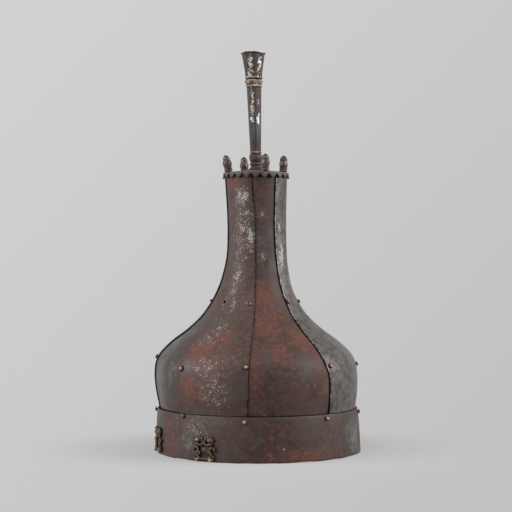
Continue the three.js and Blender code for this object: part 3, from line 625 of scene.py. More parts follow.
# %% Ovals seen in the photograph
RUST_OVALS = [
    (-35, 109, 12, 10, 0.9), (-21, 121, 10, 8, 0.7), (-40, 75, 8, 10, 1.1),
    (-26, 100, 20, 18, 0.45), (11, 162, 10, 7, 0.9), (13, 137, 12, 10, 0.65),
    (-1, 90, 5, 14, 0.7), (38, 119, 10, 10, 0.7), (38, 106, 7, 10, 0.45), (14, 109, 10, 9, 0.5),
    (-30, 69, 10, 9, 0.5), (-69, 151, 7, 10, 0.6), (-60, 25, 7, 15, 0.7), (-56, 12, 7, 10, 0.7),
    (27, 6, 22, 5, 0.8), (-14, 26, 10, 7, 0.4), (22, 73, 13, 10, 0.3), (41, 78, 4, 20, 0.25),
    (-48, 281, 9, 8, 0.7), (61, 282, 5, 6, 0.6), (74, 262, 5, 26, 0.75), (56, 60, 9, 14, 0.6),
    (10, 222, 6, 6, 0.4), (7, 171, 5, 7, 0.8), (-33, 234, 4, 6, 0.4), (-46, 175, 4, 13, 0.5),
]
STEEL_OVALS = [
    (-70, 86, 18, 50, 1.0), (-41, 94, 10, 10, 0.68), (-55, 80, 9, 32, 0.8), (-10, 122, 8, 8, 0.7),
    (-33, 49, 13, 7, 0.6), (-12, 19, 10, 7, 0.6), (-15, 102, 12, 10, 0.4), (13, 86, 15, 9, 0.5),
    (39, 48, 13, 5, 0.5), (-42, 13, 9, 9, 0.8), (66, 24, 16, 14, 1.25), (66, 8, 16, 8, 1.1),
    (78, 100, 20, 24, 1.15), (0, 340, 8, 9, 0.9), (18, 215, 8, 26, 0.5), (-54, 238, 6, 35, 0.5),
    (46, 32, 10, 9, 0.5), (-10, 73, 9, 14, 0.3),
]
FLECK_OVALS = [
    (-28, 95, 17, 10, 0.9), (-24, 73, 15, 18, 0.88), (-35, 120, 11, 8, 0.75),
    (-31, 130, 8, 8, 0.8), (-28, 157, 4, 10, 0.9), (-36, 32, 13, 9, 0.85), (-20, 40, 10, 4, 0.6),
    (-11, 96, 10, 5, 0.4), (-27, 268, 7, 8, 1.4), (-18, 250, 3, 3, 1.4), (-13, 226, 5, 11, 1.4),
    (-29, 233, 4, 5, 1.2), (12, 250, 4, 4, 1.0), (10, 206, 4, 4, 1.0), (-30, 190, 4, 4, 1.2),
    (-34, 182, 5, 9, 1.0), (-34, 168, 5, 5, 1.0), (55, 206, 4, 13, 1.4), (48, 236, 2, 5, 1.4),
    (73, 181, 4, 5, 0.9), (-30, 225, 15, 42, 0.8), (-30, 140, 14, 40, 0.5),
    (60, 215, 8, 30, 0.45), (-26, 84, 22, 26, 0.6), (-40, 30, 16, 14, 0.5),
]

# %% Ovals for the sides and the back
drawn = random.Random(11)
for ovals, count, biggest in ((RUST_OVALS, 34, 18), (STEEL_OVALS, 22, 24), (FLECK_OVALS, 20, 12)):
    for _ in range(count):
        ovals.append(
            (
                drawn.uniform(92, 268),
                drawn.choice((drawn.uniform(5, 130), drawn.uniform(60, 285))),
                drawn.uniform(5, biggest),
                drawn.uniform(5, biggest),
                drawn.uniform(0.4, 1.0),
            )
        )
print("ovals:", len(RUST_OVALS), len(STEEL_OVALS), len(FLECK_OVALS))


# %% Brush them on
FAR = 9.0  # further from an edge or a crevice than any painted dirt and shade reaches, in millimetres


def oval_amount(places, ovals):
    """How much of these ovals lies on each place, before the bowl's lean."""
    azimuths, heights = azimuths_of(places), places[:, 2]
    amount = np.zeros(len(places))
    for azimuth, height, half_width, half_height, strength in ovals:
        across = np.radians(turns_from(azimuth, azimuths)) * reaches_of(places) / half_width
        up = (heights - height) / half_height
        amount = np.maximum(amount, strength * np.exp(-0.5 * (across**2 + up**2)))
    return amount


def paint_patches(piece, edge_mm=FAR, crevice_mm=FAR, wear_and_glint_amount=0.0, least_steel=0.0):
    """Paints the six values that old iron reads: three kinds of patches, the distance to an edge,
    the distance to where black is painted as dirt and as shade, and how bright an edge is painted,
    as wear and as a glint."""
    places = places_of(piece)
    rust, steel, flecks = [
        oval_amount(places, ovals) for ovals in (RUST_OVALS, STEEL_OVALS, FLECK_OVALS)
    ]
    values = (rust, np.maximum(steel, least_steel), flecks, edge_mm, crevice_mm, wear_and_glint_amount)
    for layer, value in zip(PATINA_LAYERS, values):
        paint(piece, layer, np.broadcast_to(value, len(places)))


# %% [markdown]
# ## Plates
#
# Each plate was raised from a sheet with a hammer and trimmed along its seams. Here the outline is
# spun into a strip, its columns swing from straight meridians onto the swaying seams, a Displace
# modifier gives the uneven face that planishing leaves, Solidify gives the sheet its millimetre,
# and a small Bevel breaks its cut edges so that they catch the light.

# %% The cap's underside and lines inside the bowl's
LAY_SPACING = PLATE_THICKNESS + PIECE_GAP
CAP_SLOPE = math.radians(6.5)
CAP_UNDER_HEIGHT = TOP_HEIGHT + PIECE_GAP
CAP_SKIRT_RADIUS = TOP_RADIUS + 0.45
TAB_BEND, TAB_BEND_STEPS, TAB_LENGTH = 1.2, 4, 6
OUTLINE_STEP, OUTLINE_SAMPLES = 3.0, 900


def cap_under(radius):
    """Height of the cap's underside at a radius."""
    return CAP_UNDER_HEIGHT + (CAP_SKIRT_RADIUS - radius) * math.tan(CAP_SLOPE)


def rounded(radius, height, bend, turns):
    """Outline points on an arc round a centre, at turns from level outwards to straight up."""
    return [(radius + bend * math.cos(turn), height + bend * math.sin(turn)) for turn in turns]


def offset_outline(inset):
    """The bowl's outline moved inwards, as evenly spaced (radius, height) points."""
    heights = np.linspace(FOOT_HEIGHT, TOP_HEIGHT, OUTLINE_SAMPLES)
    line = np.array([(plate_radius(height), height) for height in heights])
    along = np.gradient(line, axis=0)
    along /= np.linalg.norm(along, axis=1)[:, None]
    line += np.stack([-along[:, 1], along[:, 0]], 1) * inset
    walked = np.r_[0, np.cumsum(np.linalg.norm(np.diff(line, axis=0), axis=1))]
    stops = np.linspace(0, walked[-1], round(walked[-1] / OUTLINE_STEP) + 1)
    return [(np.interp(s, walked, line[:, 0]), np.interp(s, walked, line[:, 1])) for s in stops]


# %% The raised plates' outline, and the others' with a tab under the cap
raised_outline = offset_outline(0)
under_line = offset_outline(LAY_SPACING)
bend_radius = under_line[-1][0] - TAB_BEND
bend_height = cap_under(bend_radius) - PIECE_GAP - TAB_BEND / math.cos(CAP_SLOPE)
under_outline = [point for point in under_line if point[1] < bend_height - 0.5]
turns = np.linspace(0, math.pi / 2 - CAP_SLOPE, TAB_BEND_STEPS + 1)
under_outline += rounded(bend_radius, bend_height, TAB_BEND, turns)
tab_radius, tab_height = under_outline[-1]
tab_radius -= TAB_LENGTH * math.cos(CAP_SLOPE)
tab_height += TAB_LENGTH * math.sin(CAP_SLOPE)
under_outline.append((tab_radius, tab_height))
print("outline points:", len(raised_outline), len(under_outline))

# %% Strip, seams and hammer
PLATE_SPIN = 45
LAP_SHARE = 0.22
TRIM_WANDER = 0.35  # how far a hand-trimmed edge wanders from its seam
HAMMER_FACE, HAMMER_DEPTH = 17, 0.35
planishing = bpy.data.textures.new("planishing", "CLOUDS")
planishing.noise_scale = HAMMER_FACE * MM
planishing.noise_depth = 1


def edge_line(number, raised, side):
    """The azimuth of a plate's edge by height. Side is 0 at its left and 1 at its right."""
    seam = number + side
    beyond = seam + (1 if side else -1)

    def trimmed(height):
        wander = noise.noise(Vector((seam * 7.3, height / 21, side))) * TRIM_WANDER
        return seam_azimuth(seam, height) + math.degrees(wander / plate_radius(height))

    def lapped(height):
        return blend(seam_azimuth(seam, height), seam_azimuth(beyond, height), LAP_SHARE)

    return trimmed if raised else lapped


def swing_onto_seams(piece, left, right):
    """Moves each column of a spun strip to its share of the way between two edges."""
    places = places_of(piece)
    reach = reaches_of(places)
    shares = np.abs(np.degrees(np.arctan2(places[:, 1], places[:, 0]))) / PLATE_SPIN
    heights = np.minimum(places[:, 2], TOP_HEIGHT)
    lefts = np.array([left(height) for height in heights])
    rights = np.array([right(height) for height in heights])
    turns = np.radians(lefts + (rights - lefts) * shares)
    places[:, 0] = reach * np.sin(turns)
    places[:, 1] = -reach * np.cos(turns)
    put_places(piece, places)


# %% Forge the eight plates
plates = []
for raised, outline, steps in ((True, raised_outline, 26), (False, under_outline, 36)):
    strip = draw_outline("strip", outline)
    for number in range(1 if raised else 0, SEAM_COUNT, 2):
        kind = "raised_plate" if raised else "under_plate"
        node = f"{kind}_{number // 2 + 1}"
        piece = duplicate(strip, f"{node}_forged")
        spin_sheet(piece, PLATE_SPIN, steps)
        swing_onto_seams(piece, edge_line(number, raised, 0), edge_line(number, raised, 1))
        face_outwards(piece)
        dent(piece, planishing, HAMMER_DEPTH, middle=0.86)
        thicken(piece, PLATE_THICKNESS)
        break_edges(piece, 0.2)
        plates.append((piece, node, number, raised))
    bpy.data.objects.remove(strip)
print("plates:", [(plate[1], len(plate[0].data.vertices)) for plate in plates])

# %% [markdown]
# ## Brow band
#
# The band is one strip of heavier iron, bent round and riveted to itself at the back. Its outline
# is spun through a little more than one turn, and the outer end lifts over the inner one. Boolean
# cuts leave the three small holes of ornaments that are gone.

# %% The band's face
BAND_HEIGHT, BAND_THICKNESS = 46, 1.4
BAND_RIM_RADIUS, BAND_TOP_RADIUS = 108.05, 105.9
BAND_LAP, BAND_LAP_HALF, BAND_LAP_EASE = 157, 6, 5
BAND_ROWS = 16
band_flare = smooth_through([(0, 1), (0.8, 0.5), (1, 0)])
band_shares = [(step / BAND_ROWS, band_flare(step / BAND_ROWS)) for step in range(BAND_ROWS + 1)]
band_outline = profile(band_shares, BAND_TOP_RADIUS, BAND_RIM_RADIUS, 0, BAND_HEIGHT)


def band_radius(height):
    """Radius of the band's outer face at a height."""
    return blend(BAND_TOP_RADIUS, BAND_RIM_RADIUS, band_flare(height / BAND_HEIGHT))


def band_lift(azimuth):
    """How far the strip's outer end stands over the inner one."""
    start = BAND_LAP - BAND_LAP_HALF - BAND_LAP_EASE
    share = min(max((azimuth - start) / BAND_LAP_EASE, 0), 1)
    return share * share * (3 - 2 * share) * (BAND_THICKNESS + PIECE_GAP)


# %% Bend the strip round and lap its ends
BAND_TURN = 360 + 2 * BAND_LAP_HALF
BAND_STEPS = 248
BAND_BOW = 0.25  # how far the strip bows in from a true round, on average
RIM_WEAR = 0.8  # how much of the rim has worn or bent away, at most
TOP_WAVE, TOP_DROP = 0.3, 0.2  # how uneven the upper edge is, and how much lower on average
RIM_CLEARANCE = 0.08  # keeps the dented rim above the floor
band = draw_outline("brow_band_forged", band_outline)
spin(band, BAND_TURN, BAND_STEPS)
start_clean()
places = places_of(band)
columns = np.arange(len(places)) // len(band_outline)
for row, place in enumerate(places):
    azimuth = BAND_LAP - BAND_LAP_HALF - 360 + BAND_TURN * columns[row] / BAND_STEPS
    height = place[2]
    rise = height / BAND_HEIGHT
    spot = around(BAND_RIM_RADIUS, azimuth, height)
    bow = noise.noise(spot / 38) * BAND_BOW - BAND_BOW
    place[:] = around(band_radius(height) + band_lift(azimuth) + bow, azimuth, height)
    worn = max(0, noise.noise(spot / 17) + 0.3 * noise.noise(spot / 5) + 0.25)
    place[2] += RIM_WEAR * worn * (1 - rise) ** 3
    place[2] += TOP_WAVE * noise.noise(spot / 13) * rise**6 - TOP_DROP * rise
places[:, 2] += RIM_CLEARANCE
put_places(band, places)
face_outwards(band)
dent(band, planishing, HAMMER_DEPTH, middle=1.0)
thicken(band, BAND_THICKNESS)
break_edges(band, 0.3)
print("band:", len(band.data.vertices), "vertices, turn", BAND_TURN, "degrees")

# %% Drill the holes of lost ornaments
HOLE_RADIUS, DRILL_DEPTH, DRILL_SIDES = 1.1, 9, 20
LOST_ORNAMENTS = [(13.6, 0.3), (-31.2, 0.275), (66.8, 0.26)]  # azimuth and share of the height


def drill(piece, radius, place, outward):
    """Cuts a round hole through a sheet."""
    start_clean()
    bpy.ops.mesh.primitive_cylinder_add(
        vertices=DRILL_SIDES, radius=radius * MM, depth=DRILL_DEPTH * MM
    )
    cutter = bpy.context.object
    set_square(cutter, place, outward)
    apply_modifier(piece, "BOOLEAN", object=cutter, operation="DIFFERENCE", solver="EXACT")
    bpy.data.objects.remove(cutter)


for azimuth, share in LOST_ORNAMENTS:
    height = BAND_HEIGHT * share
    drill(band, HOLE_RADIUS, around(band_radius(height), azimuth, height), around(1, azimuth, 0))
print("band after drilling:", len(band.data.vertices), "vertices")

# %% Paint the band, black as dirt and as painted shade along the rim and behind the mounts
MOUNT_WIDTH, MOUNT_HEIGHT = 25, 26
MOUNT_SEATS = {"brow_mount_front": (-30, 0.5), "brow_mount_side": (-73, 2.3)}
places = places_of(band)
SHADE_MIDDLE, SHADE_HALF_HEIGHT = MOUNT_HEIGHT * 0.45, MOUNT_HEIGHT * 0.42
SHADE_HALF_WIDTH, SHADE_DISTANCE = MOUNT_WIDTH * 0.36, 0.08
RUB_OFFSET = 0.8  # keeps the rubbed line along the band's edges thin
to_rim, to_top = places[:, 2] - 0.2, BAND_HEIGHT - places[:, 2]
# Painted shade and dirt: black along the rim and in a box behind each mount
crevice = to_rim - 0.1
for azimuth, foot in MOUNT_SEATS.values():
    turn = np.radians(turns_from(azimuth, azimuths_of(places)))
    across = np.abs(turn * BAND_RIM_RADIUS) - SHADE_HALF_WIDTH
    up = np.abs(places[:, 2] - foot - SHADE_MIDDLE) - SHADE_HALF_HEIGHT
    crevice = np.minimum(crevice, np.maximum(np.maximum(across, up), SHADE_DISTANCE))
paint_patches(band, np.minimum(to_rim, to_top) + RUB_OFFSET, crevice, wear_and_glint_amount=0.5)
finish_piece(band, "brow_band", band_iron)

# %% [markdown]
# ## Rivets
#
# The rivets were headed hot with a few blows, so no two domes are alike. One rivet is spun from a
# finer outline, dented with a Displace modifier and copied. Each copy is turned by its own angle and
# set square to the plates inside the raised plate's edge. The tops are painted bright, as wear and
# as a highlight, and the foot dark, as oxide and as shade, with a black ring round it on the plates,
# as dirt and as shade. The gilding of the brow mounts is painted in the same way, so one function
# makes both surfaces.


# %% Metal that is dark in its hollows and bright where it stands out
def worn_metal(name, painted, noise_share, grain, tones, relief, roughness, metallic):
    """Painted names the value that says how far a spot stands out, and noise is added to it by its
    share. Grain is the noise's size, detail and roughness. Tones are the dark one, then others
    with the low and high between which each comes in. Relief is the bump's depth and strength."""
    material = bpy.data.materials.new(name)
    node = partial(add_node, own_nodes(material))
    size, detail, noise_roughness = grain
    lumps = node(NOISE, node(PLACE), 1 / (size * MM), detail, noise_roughness)
    worn = node(WEIGH, lumps, noise_share, node(PAINTED, attribute_name=painted))
    tone = colour(tones[0])
    for low, high, brighter in tones[1:]:
        tone = node(LAYER, node(SMOOTH, worn, low, high), tone, colour(brighter))
    bump = node(BUMP, lumps, relief[0] * MM, relief[1])
    node(SURFACE, node(SHADER, tone, roughness, metallic, 0.5, bump))
    return material


# Dark round the foot, as oxide and as painted shade, coppery brown rust above, and a pale top
# painted as wear and as a highlight
RIVET_TONES = [0x18110F, (0.55, 1.05, 0x6E4B3F), (1.2, 1.42, 0xD6C6BC)]
rivet_iron = worn_metal(
    "rubbed_rivet_iron_with_painted_highlight", "dome", noise_share=0.9, grain=(1.3, 3, 0.6), tones=RIVET_TONES,
    relief=(0.15, 0.5), roughness=0.4, metallic=0.3,
)
# Cast copper alloy: near black tarnish in the hollows, green-brown between, gold on the high points
# and a pale painted highlight on the highest
GILT_TONES = [0x1D1812, (1.15, 1.5, 0x4A3B2E), (1.55, 1.8, 0x7A6043), (1.82, 1.94, 0xE6D0AE)]
gilt_alloy = worn_metal(
    "tarnished_gilt_copper_alloy", "raised", noise_share=1.6, grain=(2.4, 4, 0.65),
    tones=GILT_TONES, relief=(0.2, 0.6), roughness=0.42, metallic=0.5,
)
print("rivet nodes:", len(rivet_iron.node_tree.nodes))


# %% A shank with its clenched end
def clenched_shank(peen, clench, radius, top):
    """Outline points of a shank from its hammered end up. The peen is given as radii, and depths
    below the height where it is clenched."""
    peened = [(reach, clench - depth) for reach, depth in peen]
    return peened + [(radius, clench), (radius, top)]


# %% Model one rivet
HEAD_RADIUS, HEAD_HEIGHT = 2.4, 1.9
HEAD_EDGE, HEAD_STEPS, HEAD_FULLNESS = 0.2, 7, 1.1
SHANK_RADIUS = 1.2
RIVET_PEEN = [(0, 0.8), (1.14, 0.64), (1.9, 0.16), (1.9, 0)]
PLATE_GRIP = 2 * PLATE_THICKNESS + PIECE_GAP
CLENCH_GAP = 0.45
BLOW_SIZE = 2.2
rivet_outline = clenched_shank(RIVET_PEEN, -PLATE_GRIP - CLENCH_GAP, SHANK_RADIUS, PIECE_GAP)
rivet_outline.append((HEAD_RADIUS * 0.94, PIECE_GAP))
for step in range(1, HEAD_STEPS + 1):
    turn = math.pi / 2 * step / HEAD_STEPS
    dome = (HEAD_HEIGHT - HEAD_EDGE) * math.sin(turn) ** HEAD_FULLNESS
    rivet_outline.append((HEAD_RADIUS * math.cos(turn), PIECE_GAP + HEAD_EDGE + dome))
rivet = draw_outline("rivet", rivet_outline)
spin_sheet(rivet, 360, 20)
blow_marks = bpy.data.textures.new("hammer_blows", "CLOUDS")
blow_marks.noise_scale = BLOW_SIZE * MM
dent(rivet, blow_marks, 0.5, middle=0.75)
print("rivet:", len(rivet.data.vertices), "vertices")

# %% Where the rivets sit
RIVET_INSET = 3.6  # from the raised plate's edge
HEAD_WIDTH = 2 * HEAD_RADIUS
# A row's height, and how far each rivet strays from it and from its place inside the edge, in heads
RIVET_ROWS = {
    "upper": (157, [0.3, 0.2, -0.25, 0.15, 0.1, -0.2, 0.2, 0], [-0.2, 0, 0.1, -0.18, 0, 0, 0, 0]),
    "middle": (94.5, [1.06, -0.54, 0.15, 0, -0.5, 0.3, -0.2, 0.1], [0, 0, -0.2, 0.43, 0, 0, 0, 0]),
    "band": (42, [0.4, 0.4, -0.2, 0, 0.1, 0.1, -0.2, 0], [0, 0.33, -0.25, -2, 0, 0, 0, 0]),
}
BAND_SINK = 0.1
BAND_LOOK_UP, LAP_LOOK_UP = 0.06, 0.04  # how much the band's rivets lean to look up
LAP_RIVET_SHARES = [0.27, 0.7]


def plate_outward(azimuth, height):
    """Direction out of the plates."""
    slope = (plate_radius(height + 1) - plate_radius(height - 1)) / 2
    return around(1, azimuth, -slope).normalized()


# %% Each rivet's place, outward direction and grip
rivet_seats = {}
for seam in range(SEAM_COUNT):
    for row, (level, strays, insets) in RIVET_ROWS.items():
        height = level + strays[seam] * HEAD_WIDTH
        inset = RIVET_INSET + insets[seam] * HEAD_WIDTH
        side = 1 if seam % 2 else -1
        radius = plate_radius(height)
        azimuth = seam_azimuth(seam, height) + side * math.degrees(inset / radius)
        place, outward = around(radius, azimuth, height), plate_outward(azimuth, height)
        grip = PLATE_GRIP
        if row == "band":
            place = around(band_radius(height) - BAND_SINK, azimuth, height)
            outward = around(1, azimuth, BAND_LOOK_UP).normalized()
            grip = band_radius(height) - radius + PLATE_GRIP
        rivet_seats[f"rivet_{row}_{seam + 1}"] = (place, outward, grip)
doubled = BAND_THICKNESS + PIECE_GAP
for number, share in enumerate(LAP_RIVET_SHARES, 1):
    height = BAND_HEIGHT * share
    place = around(band_radius(height) + doubled, BAND_LAP, height)
    outward = around(1, BAND_LAP, LAP_LOOK_UP).normalized()
    rivet_seats[f"lap_rivet_{number}"] = (place, outward, doubled + BAND_THICKNESS)
print("rivet seats:", len(rivet_seats))

# %% Set the rivets, and drill the lost one's hole
LOST_RIVET = "rivet_upper_2"
UPPER_ROW_SIZE = 0.78  # the upper row has smaller heads
ODD_HEADS = {"rivet_upper_3": 0.66, "rivet_upper_5": 1.05}
# Heads at the sides, on the lap and between the mounts get a top half as bright, with less wear and
# less painted highlight
DARK_HEADS = ("_1", "_5", "band_2")
DARK_DOME = 0.5
head_sizes = {LOST_RIVET: 0.6}
blows = random.Random(5)
for node, (place, outward, grip) in rivet_seats.items():
    if node == LOST_RIVET:
        for piece, plate_node, _, _ in plates:
            if plate_node in ("under_plate_1", "raised_plate_1"):
                drill(piece, SHANK_RADIUS + PIECE_GAP, place, outward)
        continue
    piece = duplicate(rivet, f"{node}_forged")
    places = places_of(piece)
    places[places[:, 2] < 0, 2] -= grip - PLATE_GRIP
    wear_and_glint = DARK_DOME if node.endswith(DARK_HEADS) else 1
    paint(piece, "dome", np.clip((places[:, 2] - PIECE_GAP) / HEAD_HEIGHT, 0, 1) * wear_and_glint)
    size = UPPER_ROW_SIZE if "upper" in node else blows.uniform(1.05, 1.13)
    head_sizes[node] = ODD_HEADS.get(node, size)
    places[places[:, 2] > 0] *= head_sizes[node]
    put_places(piece, places)
    set_square(piece, place, outward, blows.uniform(0, 2 * math.pi))
    finish_piece(piece, node, rivet_iron, crease=50)
bpy.data.objects.remove(rivet)

# %% [markdown]
# ## Dirt and painted shade on the plates
#
# Black is painted, as dirt and as shade, under the raised plates' edges, in a ring round each rivet,
# above the band and behind the cap's teeth. A ring is finer than the plates' faces, so faces close
# to a rivet are subdivided first.

# %% Finer faces round the rivets
RING_REACH = 5.5


def refine_round(piece, spots):
    """Subdivides the faces near the spots."""
    centres = np.array([face.center for face in piece.data.polygons]) / MM
    near = np.zeros(len(centres), bool)
    for spot in spots:
        near |= np.linalg.norm(centres - np.array(spot), axis=1) < RING_REACH
    edit_all(piece)
    bpy.context.tool_settings.mesh_select_mode = (False, False, True)
    bpy.ops.mesh.select_all(action="DESELECT")
    bpy.ops.object.mode_set(mode="OBJECT")
    piece.data.polygons.foreach_set("select", near)
    bpy.ops.object.mode_set(mode="EDIT")
    bpy.ops.mesh.subdivide(number_cuts=3)
    start_clean()


# %% Where black lines, rings and pits lie
# How wide the black line of painted shade beside each seam is, in millimetres, where the gap under a
# raised edge is dark, and how bright the edge is painted, as wear and as a glint. The second seam
# fits so tightly that it shows no line.
SHADE_LINE_WIDTHS = [1.1, -4, 0.2, 1.0, 0.7, 0.4, 0.8, 0.5]
EDGE_WEAR_AND_GLINT = [0.3, 0.2, 0.25, 0.75, 0.4, 0.5, 0.3, 0.6]
RAISED_LINE = 0.15  # a raised plate shows no more of the line than this
RING_WIDTH = 0.5
BAND_LINE_HEIGHT, TEETH_SHADE_HEIGHT = BAND_HEIGHT + 0.5, 287.4
PITS = [(21.8, 119, 1.05), (150, 84, 0.9), (201, 133, 1.0)]  # azimuth, height and radius
pits = [(around(plate_radius(height), azimuth, height), radius) for azimuth, height, radius in PITS]
print("pits:", len(pits))


# %% Distances to seams, rivets, band and cap
def plate_distances(piece, number, raised):
    """To the nearest edge, to the nearest black painted as dirt and as shade, and how bright the
    nearest edge is painted, as wear and as a glint.
    """
    places = places_of(piece)
    heights = places[:, 2]
    reach = reaches_of(places)
    middle = (seam_azimuth(number, 0) + seam_azimuth(number + 1, 0)) / 2
    azimuths = turns_from(middle, azimuths_of(places)) + middle
    # Painted shade: black in a thin line just above the band and behind the cap's teeth
    crevice = np.minimum(heights - BAND_LINE_HEIGHT, TEETH_SHADE_HEIGHT - heights)
    to_seams, rubbing = [], []
    for side in (0, 1):
        # A plate that runs under ends, to the eye, at its raised neighbour's edge
        owner, owner_side = (number, side) if raised else (number + 2 * side - 1, 1 - side)
        edge = edge_line(owner, True, owner_side)
        edges = np.array([edge(min(height, TOP_HEIGHT)) for height in heights])
        to_seam = np.radians((edges - azimuths) if side else (azimuths - edges)) * reach
        seam = (number + side) % SEAM_COUNT
        width = SHADE_LINE_WIDTHS[seam]
        crevice = np.minimum(crevice, to_seam - (min(width, RAISED_LINE) if raised else width))
        # A brighter edge, of wear and painted glint, is also painted wider
        to_seams.append(to_seam / (0.6 + EDGE_WEAR_AND_GLINT[seam]))
        rubbing.append(EDGE_WEAR_AND_GLINT[seam])
    # Black rings round the rivets and black pits, painted as dirt and as shade
    rings = [
        (place, HEAD_RADIUS * head_sizes[node] + RING_WIDTH)
        for node, (place, _, _) in rivet_seats.items()
    ]
    for place, radius in rings + pits:
        crevice = np.minimum(crevice, np.linalg.norm(places - np.array(place), axis=1) - radius)
    wear_and_glint_amount = np.where(to_seams[0] < to_seams[1], rubbing[0], rubbing[1])
    return np.minimum(to_seams[0], to_seams[1]), crevice, wear_and_glint_amount if raised else 0.0


# %% Paint and finish the plates
BARE_PLATES = {"raised_plate_2": 0.82}  # worn down to grey metal all over, with its steel amount
spots = [place for place, _, _ in rivet_seats.values()] + [place for place, _ in pits]
for piece, node, number, raised in plates:
    refine_round(piece, spots)
    paint_patches(piece, *plate_distances(piece, number, raised), BARE_PLATES.get(node, 0))
    finish_piece(piece, node, plate_iron)

# %% [markdown]
# ## Crown cap
#
# The cap is a shallow dished cone with its rim turned down and filed into teeth. Its closed section
# is spun through a full turn with four columns to a tooth, then the lower edge is drawn up between
# the tips.

# %% The cap's section
CAP_THICKNESS, CAP_SKIRT_THICKNESS = 1.5, 1.2
CAP_SKIRT_LENGTH, TOOTH_DEPTH, TOOTH_COUNT, TOOTH_AZIMUTH = 5.2, 4.7, 23, -0.8
CAP_OUTER_RADIUS = CAP_SKIRT_RADIUS + CAP_SKIRT_THICKNESS
CAP_ROUNDING, CAP_ROUNDING_STEPS = 1.1, 4
CAP_DISH_INSET, CAP_EDGE_RADIUS, CAP_EDGE_DROP = 1.5, 34.9, 1.2
CAP_TOP_RADII = (33, 28, 21, 15, 9)
TENON_RADIUS = 2.6
bore_radius = TENON_RADIUS + PIECE_GAP
tip_height = CAP_UNDER_HEIGHT - CAP_SKIRT_LENGTH


def cap_top(radius):
    return cap_under(radius) + CAP_THICKNESS


dish_radius = CAP_SKIRT_RADIUS - CAP_DISH_INSET
shoulder_height = cap_top(CAP_EDGE_RADIUS) - CAP_EDGE_DROP
cap_outline = [
    (bore_radius, cap_under(bore_radius)),
    (dish_radius, cap_under(dish_radius)),
    (CAP_SKIRT_RADIUS, CAP_UNDER_HEIGHT - 0.1),
    (CAP_SKIRT_RADIUS, tip_height),
    (CAP_OUTER_RADIUS, tip_height),
    (CAP_OUTER_RADIUS, shoulder_height),
]
turns = np.linspace(0, math.pi / 2, CAP_ROUNDING_STEPS + 1)[1:-1]
cap_outline += rounded(CAP_OUTER_RADIUS - CAP_ROUNDING, shoulder_height, CAP_ROUNDING, turns)
for radius in (*CAP_TOP_RADII, bore_radius):
    cap_outline.append((radius, cap_top(radius)))
cap_outline.append(cap_outline[0])
print("cap outline points:", len(cap_outline))

# %% Spin the cap and file its teeth
COLUMNS_PER_TOOTH = 4
TOOTH_BEND = 0.5  # how far a tip is bent out or in and up or down, at most
TIP_DROP, TIP_SPLAY, BEND_SPLAY = 0.6, 0.1, 0.8
cap = draw_outline("crown_cap_forged", cap_outline, TOOTH_AZIMUTH)
spin_sheet(cap, 360, TOOTH_COUNT * COLUMNS_PER_TOOTH)


def teeth_at(places):
    """Where places are, counted in teeth, and how near to a tip: 1 there and 0 between two."""
    counted = (azimuths_of(places) - TOOTH_AZIMUTH) * TOOTH_COUNT / 360
    return counted, np.abs(2 * (counted % 1) - 1)


places = places_of(cap)
counted, nearness = teeth_at(places)
on_edge = np.abs(places[:, 2] - tip_height) < 0.01
filing = random.Random(3)
bends = {
    number: filing.uniform(-TOOTH_BEND, TOOTH_BEND)
    for number in range(-TOOTH_COUNT, TOOTH_COUNT + 1)
}
bend = np.array([bends[number % TOOTH_COUNT] for number in np.round(counted).astype(int)])
sharpness = nearness * on_edge
filed = TOOTH_DEPTH * (1 - nearness) + sharpness * (bend - TIP_DROP)
places[:, 2] += np.where(on_edge, filed, 0)
splay = sharpness * (bend * BEND_SPLAY + TIP_SPLAY)
places[:, :2] *= (1 + splay / CAP_OUTER_RADIUS)[:, None]
put_places(cap, places)
edit_all(cap)
bpy.ops.mesh.normals_make_consistent(inside=False)
start_clean()
break_edges(cap, 0.22)
dent(cap, planishing, HAMMER_DEPTH, middle=0.8)
print("cap:", len(cap.data.vertices), "vertices")

# %% Paint and finish the cap
# A paler, dusty brown, a little smoother than the plates, with less rust and less bare metal
cap_iron = old_iron(
    "crown_cap_iron_dark_patina", 0x75645C, 0x55463F, 0x75564A, 0x807876,
    rust_bias=-0.1, steel_bias=-0.1, roughness=0.45,
)
places = places_of(cap)
tooth_line = tip_height + TOOTH_DEPTH * (1 - teeth_at(places)[1])
paint_patches(cap, np.abs(places[:, 2] - tooth_line) * 0.75, wear_and_glint_amount=0.15)
finish_piece(cap, "crown_cap", cap_iron)

# %% [markdown]
# ## Bud-shaped knobs
#
# Four small buds, turned and then filed into petals, stand on the cap's edge. A coarse outline with
# twelve columns is spun, every second column is pressed in between the rings, and a Subdivision
# Surface rounds it into six petals. Their dark red-brown skin is the glossiest on the helmet.

# %% Model one bud
KNOB_RADIUS, KNOB_HEIGHT = 4.9, 18
KNOB_SHANK = 1.1
KNOB_PEEN = [(0, 1.0), (1.52, 0.8), (1.9, 0)]
KNOB_GRIP = CAP_THICKNESS + PIECE_GAP + PLATE_THICKNESS
KNOB_PROFILE = [
    (0, 0.74), (0.04, 0.86), (0.08, 0.9), (0.12, 0.84), (0.15, 0.72), (0.18, 0.84), (0.21, 0.88),
    (0.245, 0.72), (0.28, 0.8), (0.36, 0.98), (0.46, 1.04), (0.56, 0.98), (0.63, 0.8),
    (0.66, 0.73), (0.69, 0.82), (0.76, 0.87), (0.84, 0.76), (0.92, 0.5), (0.98, 0.2), (1, 0),
]
BUD_COLUMNS = 12
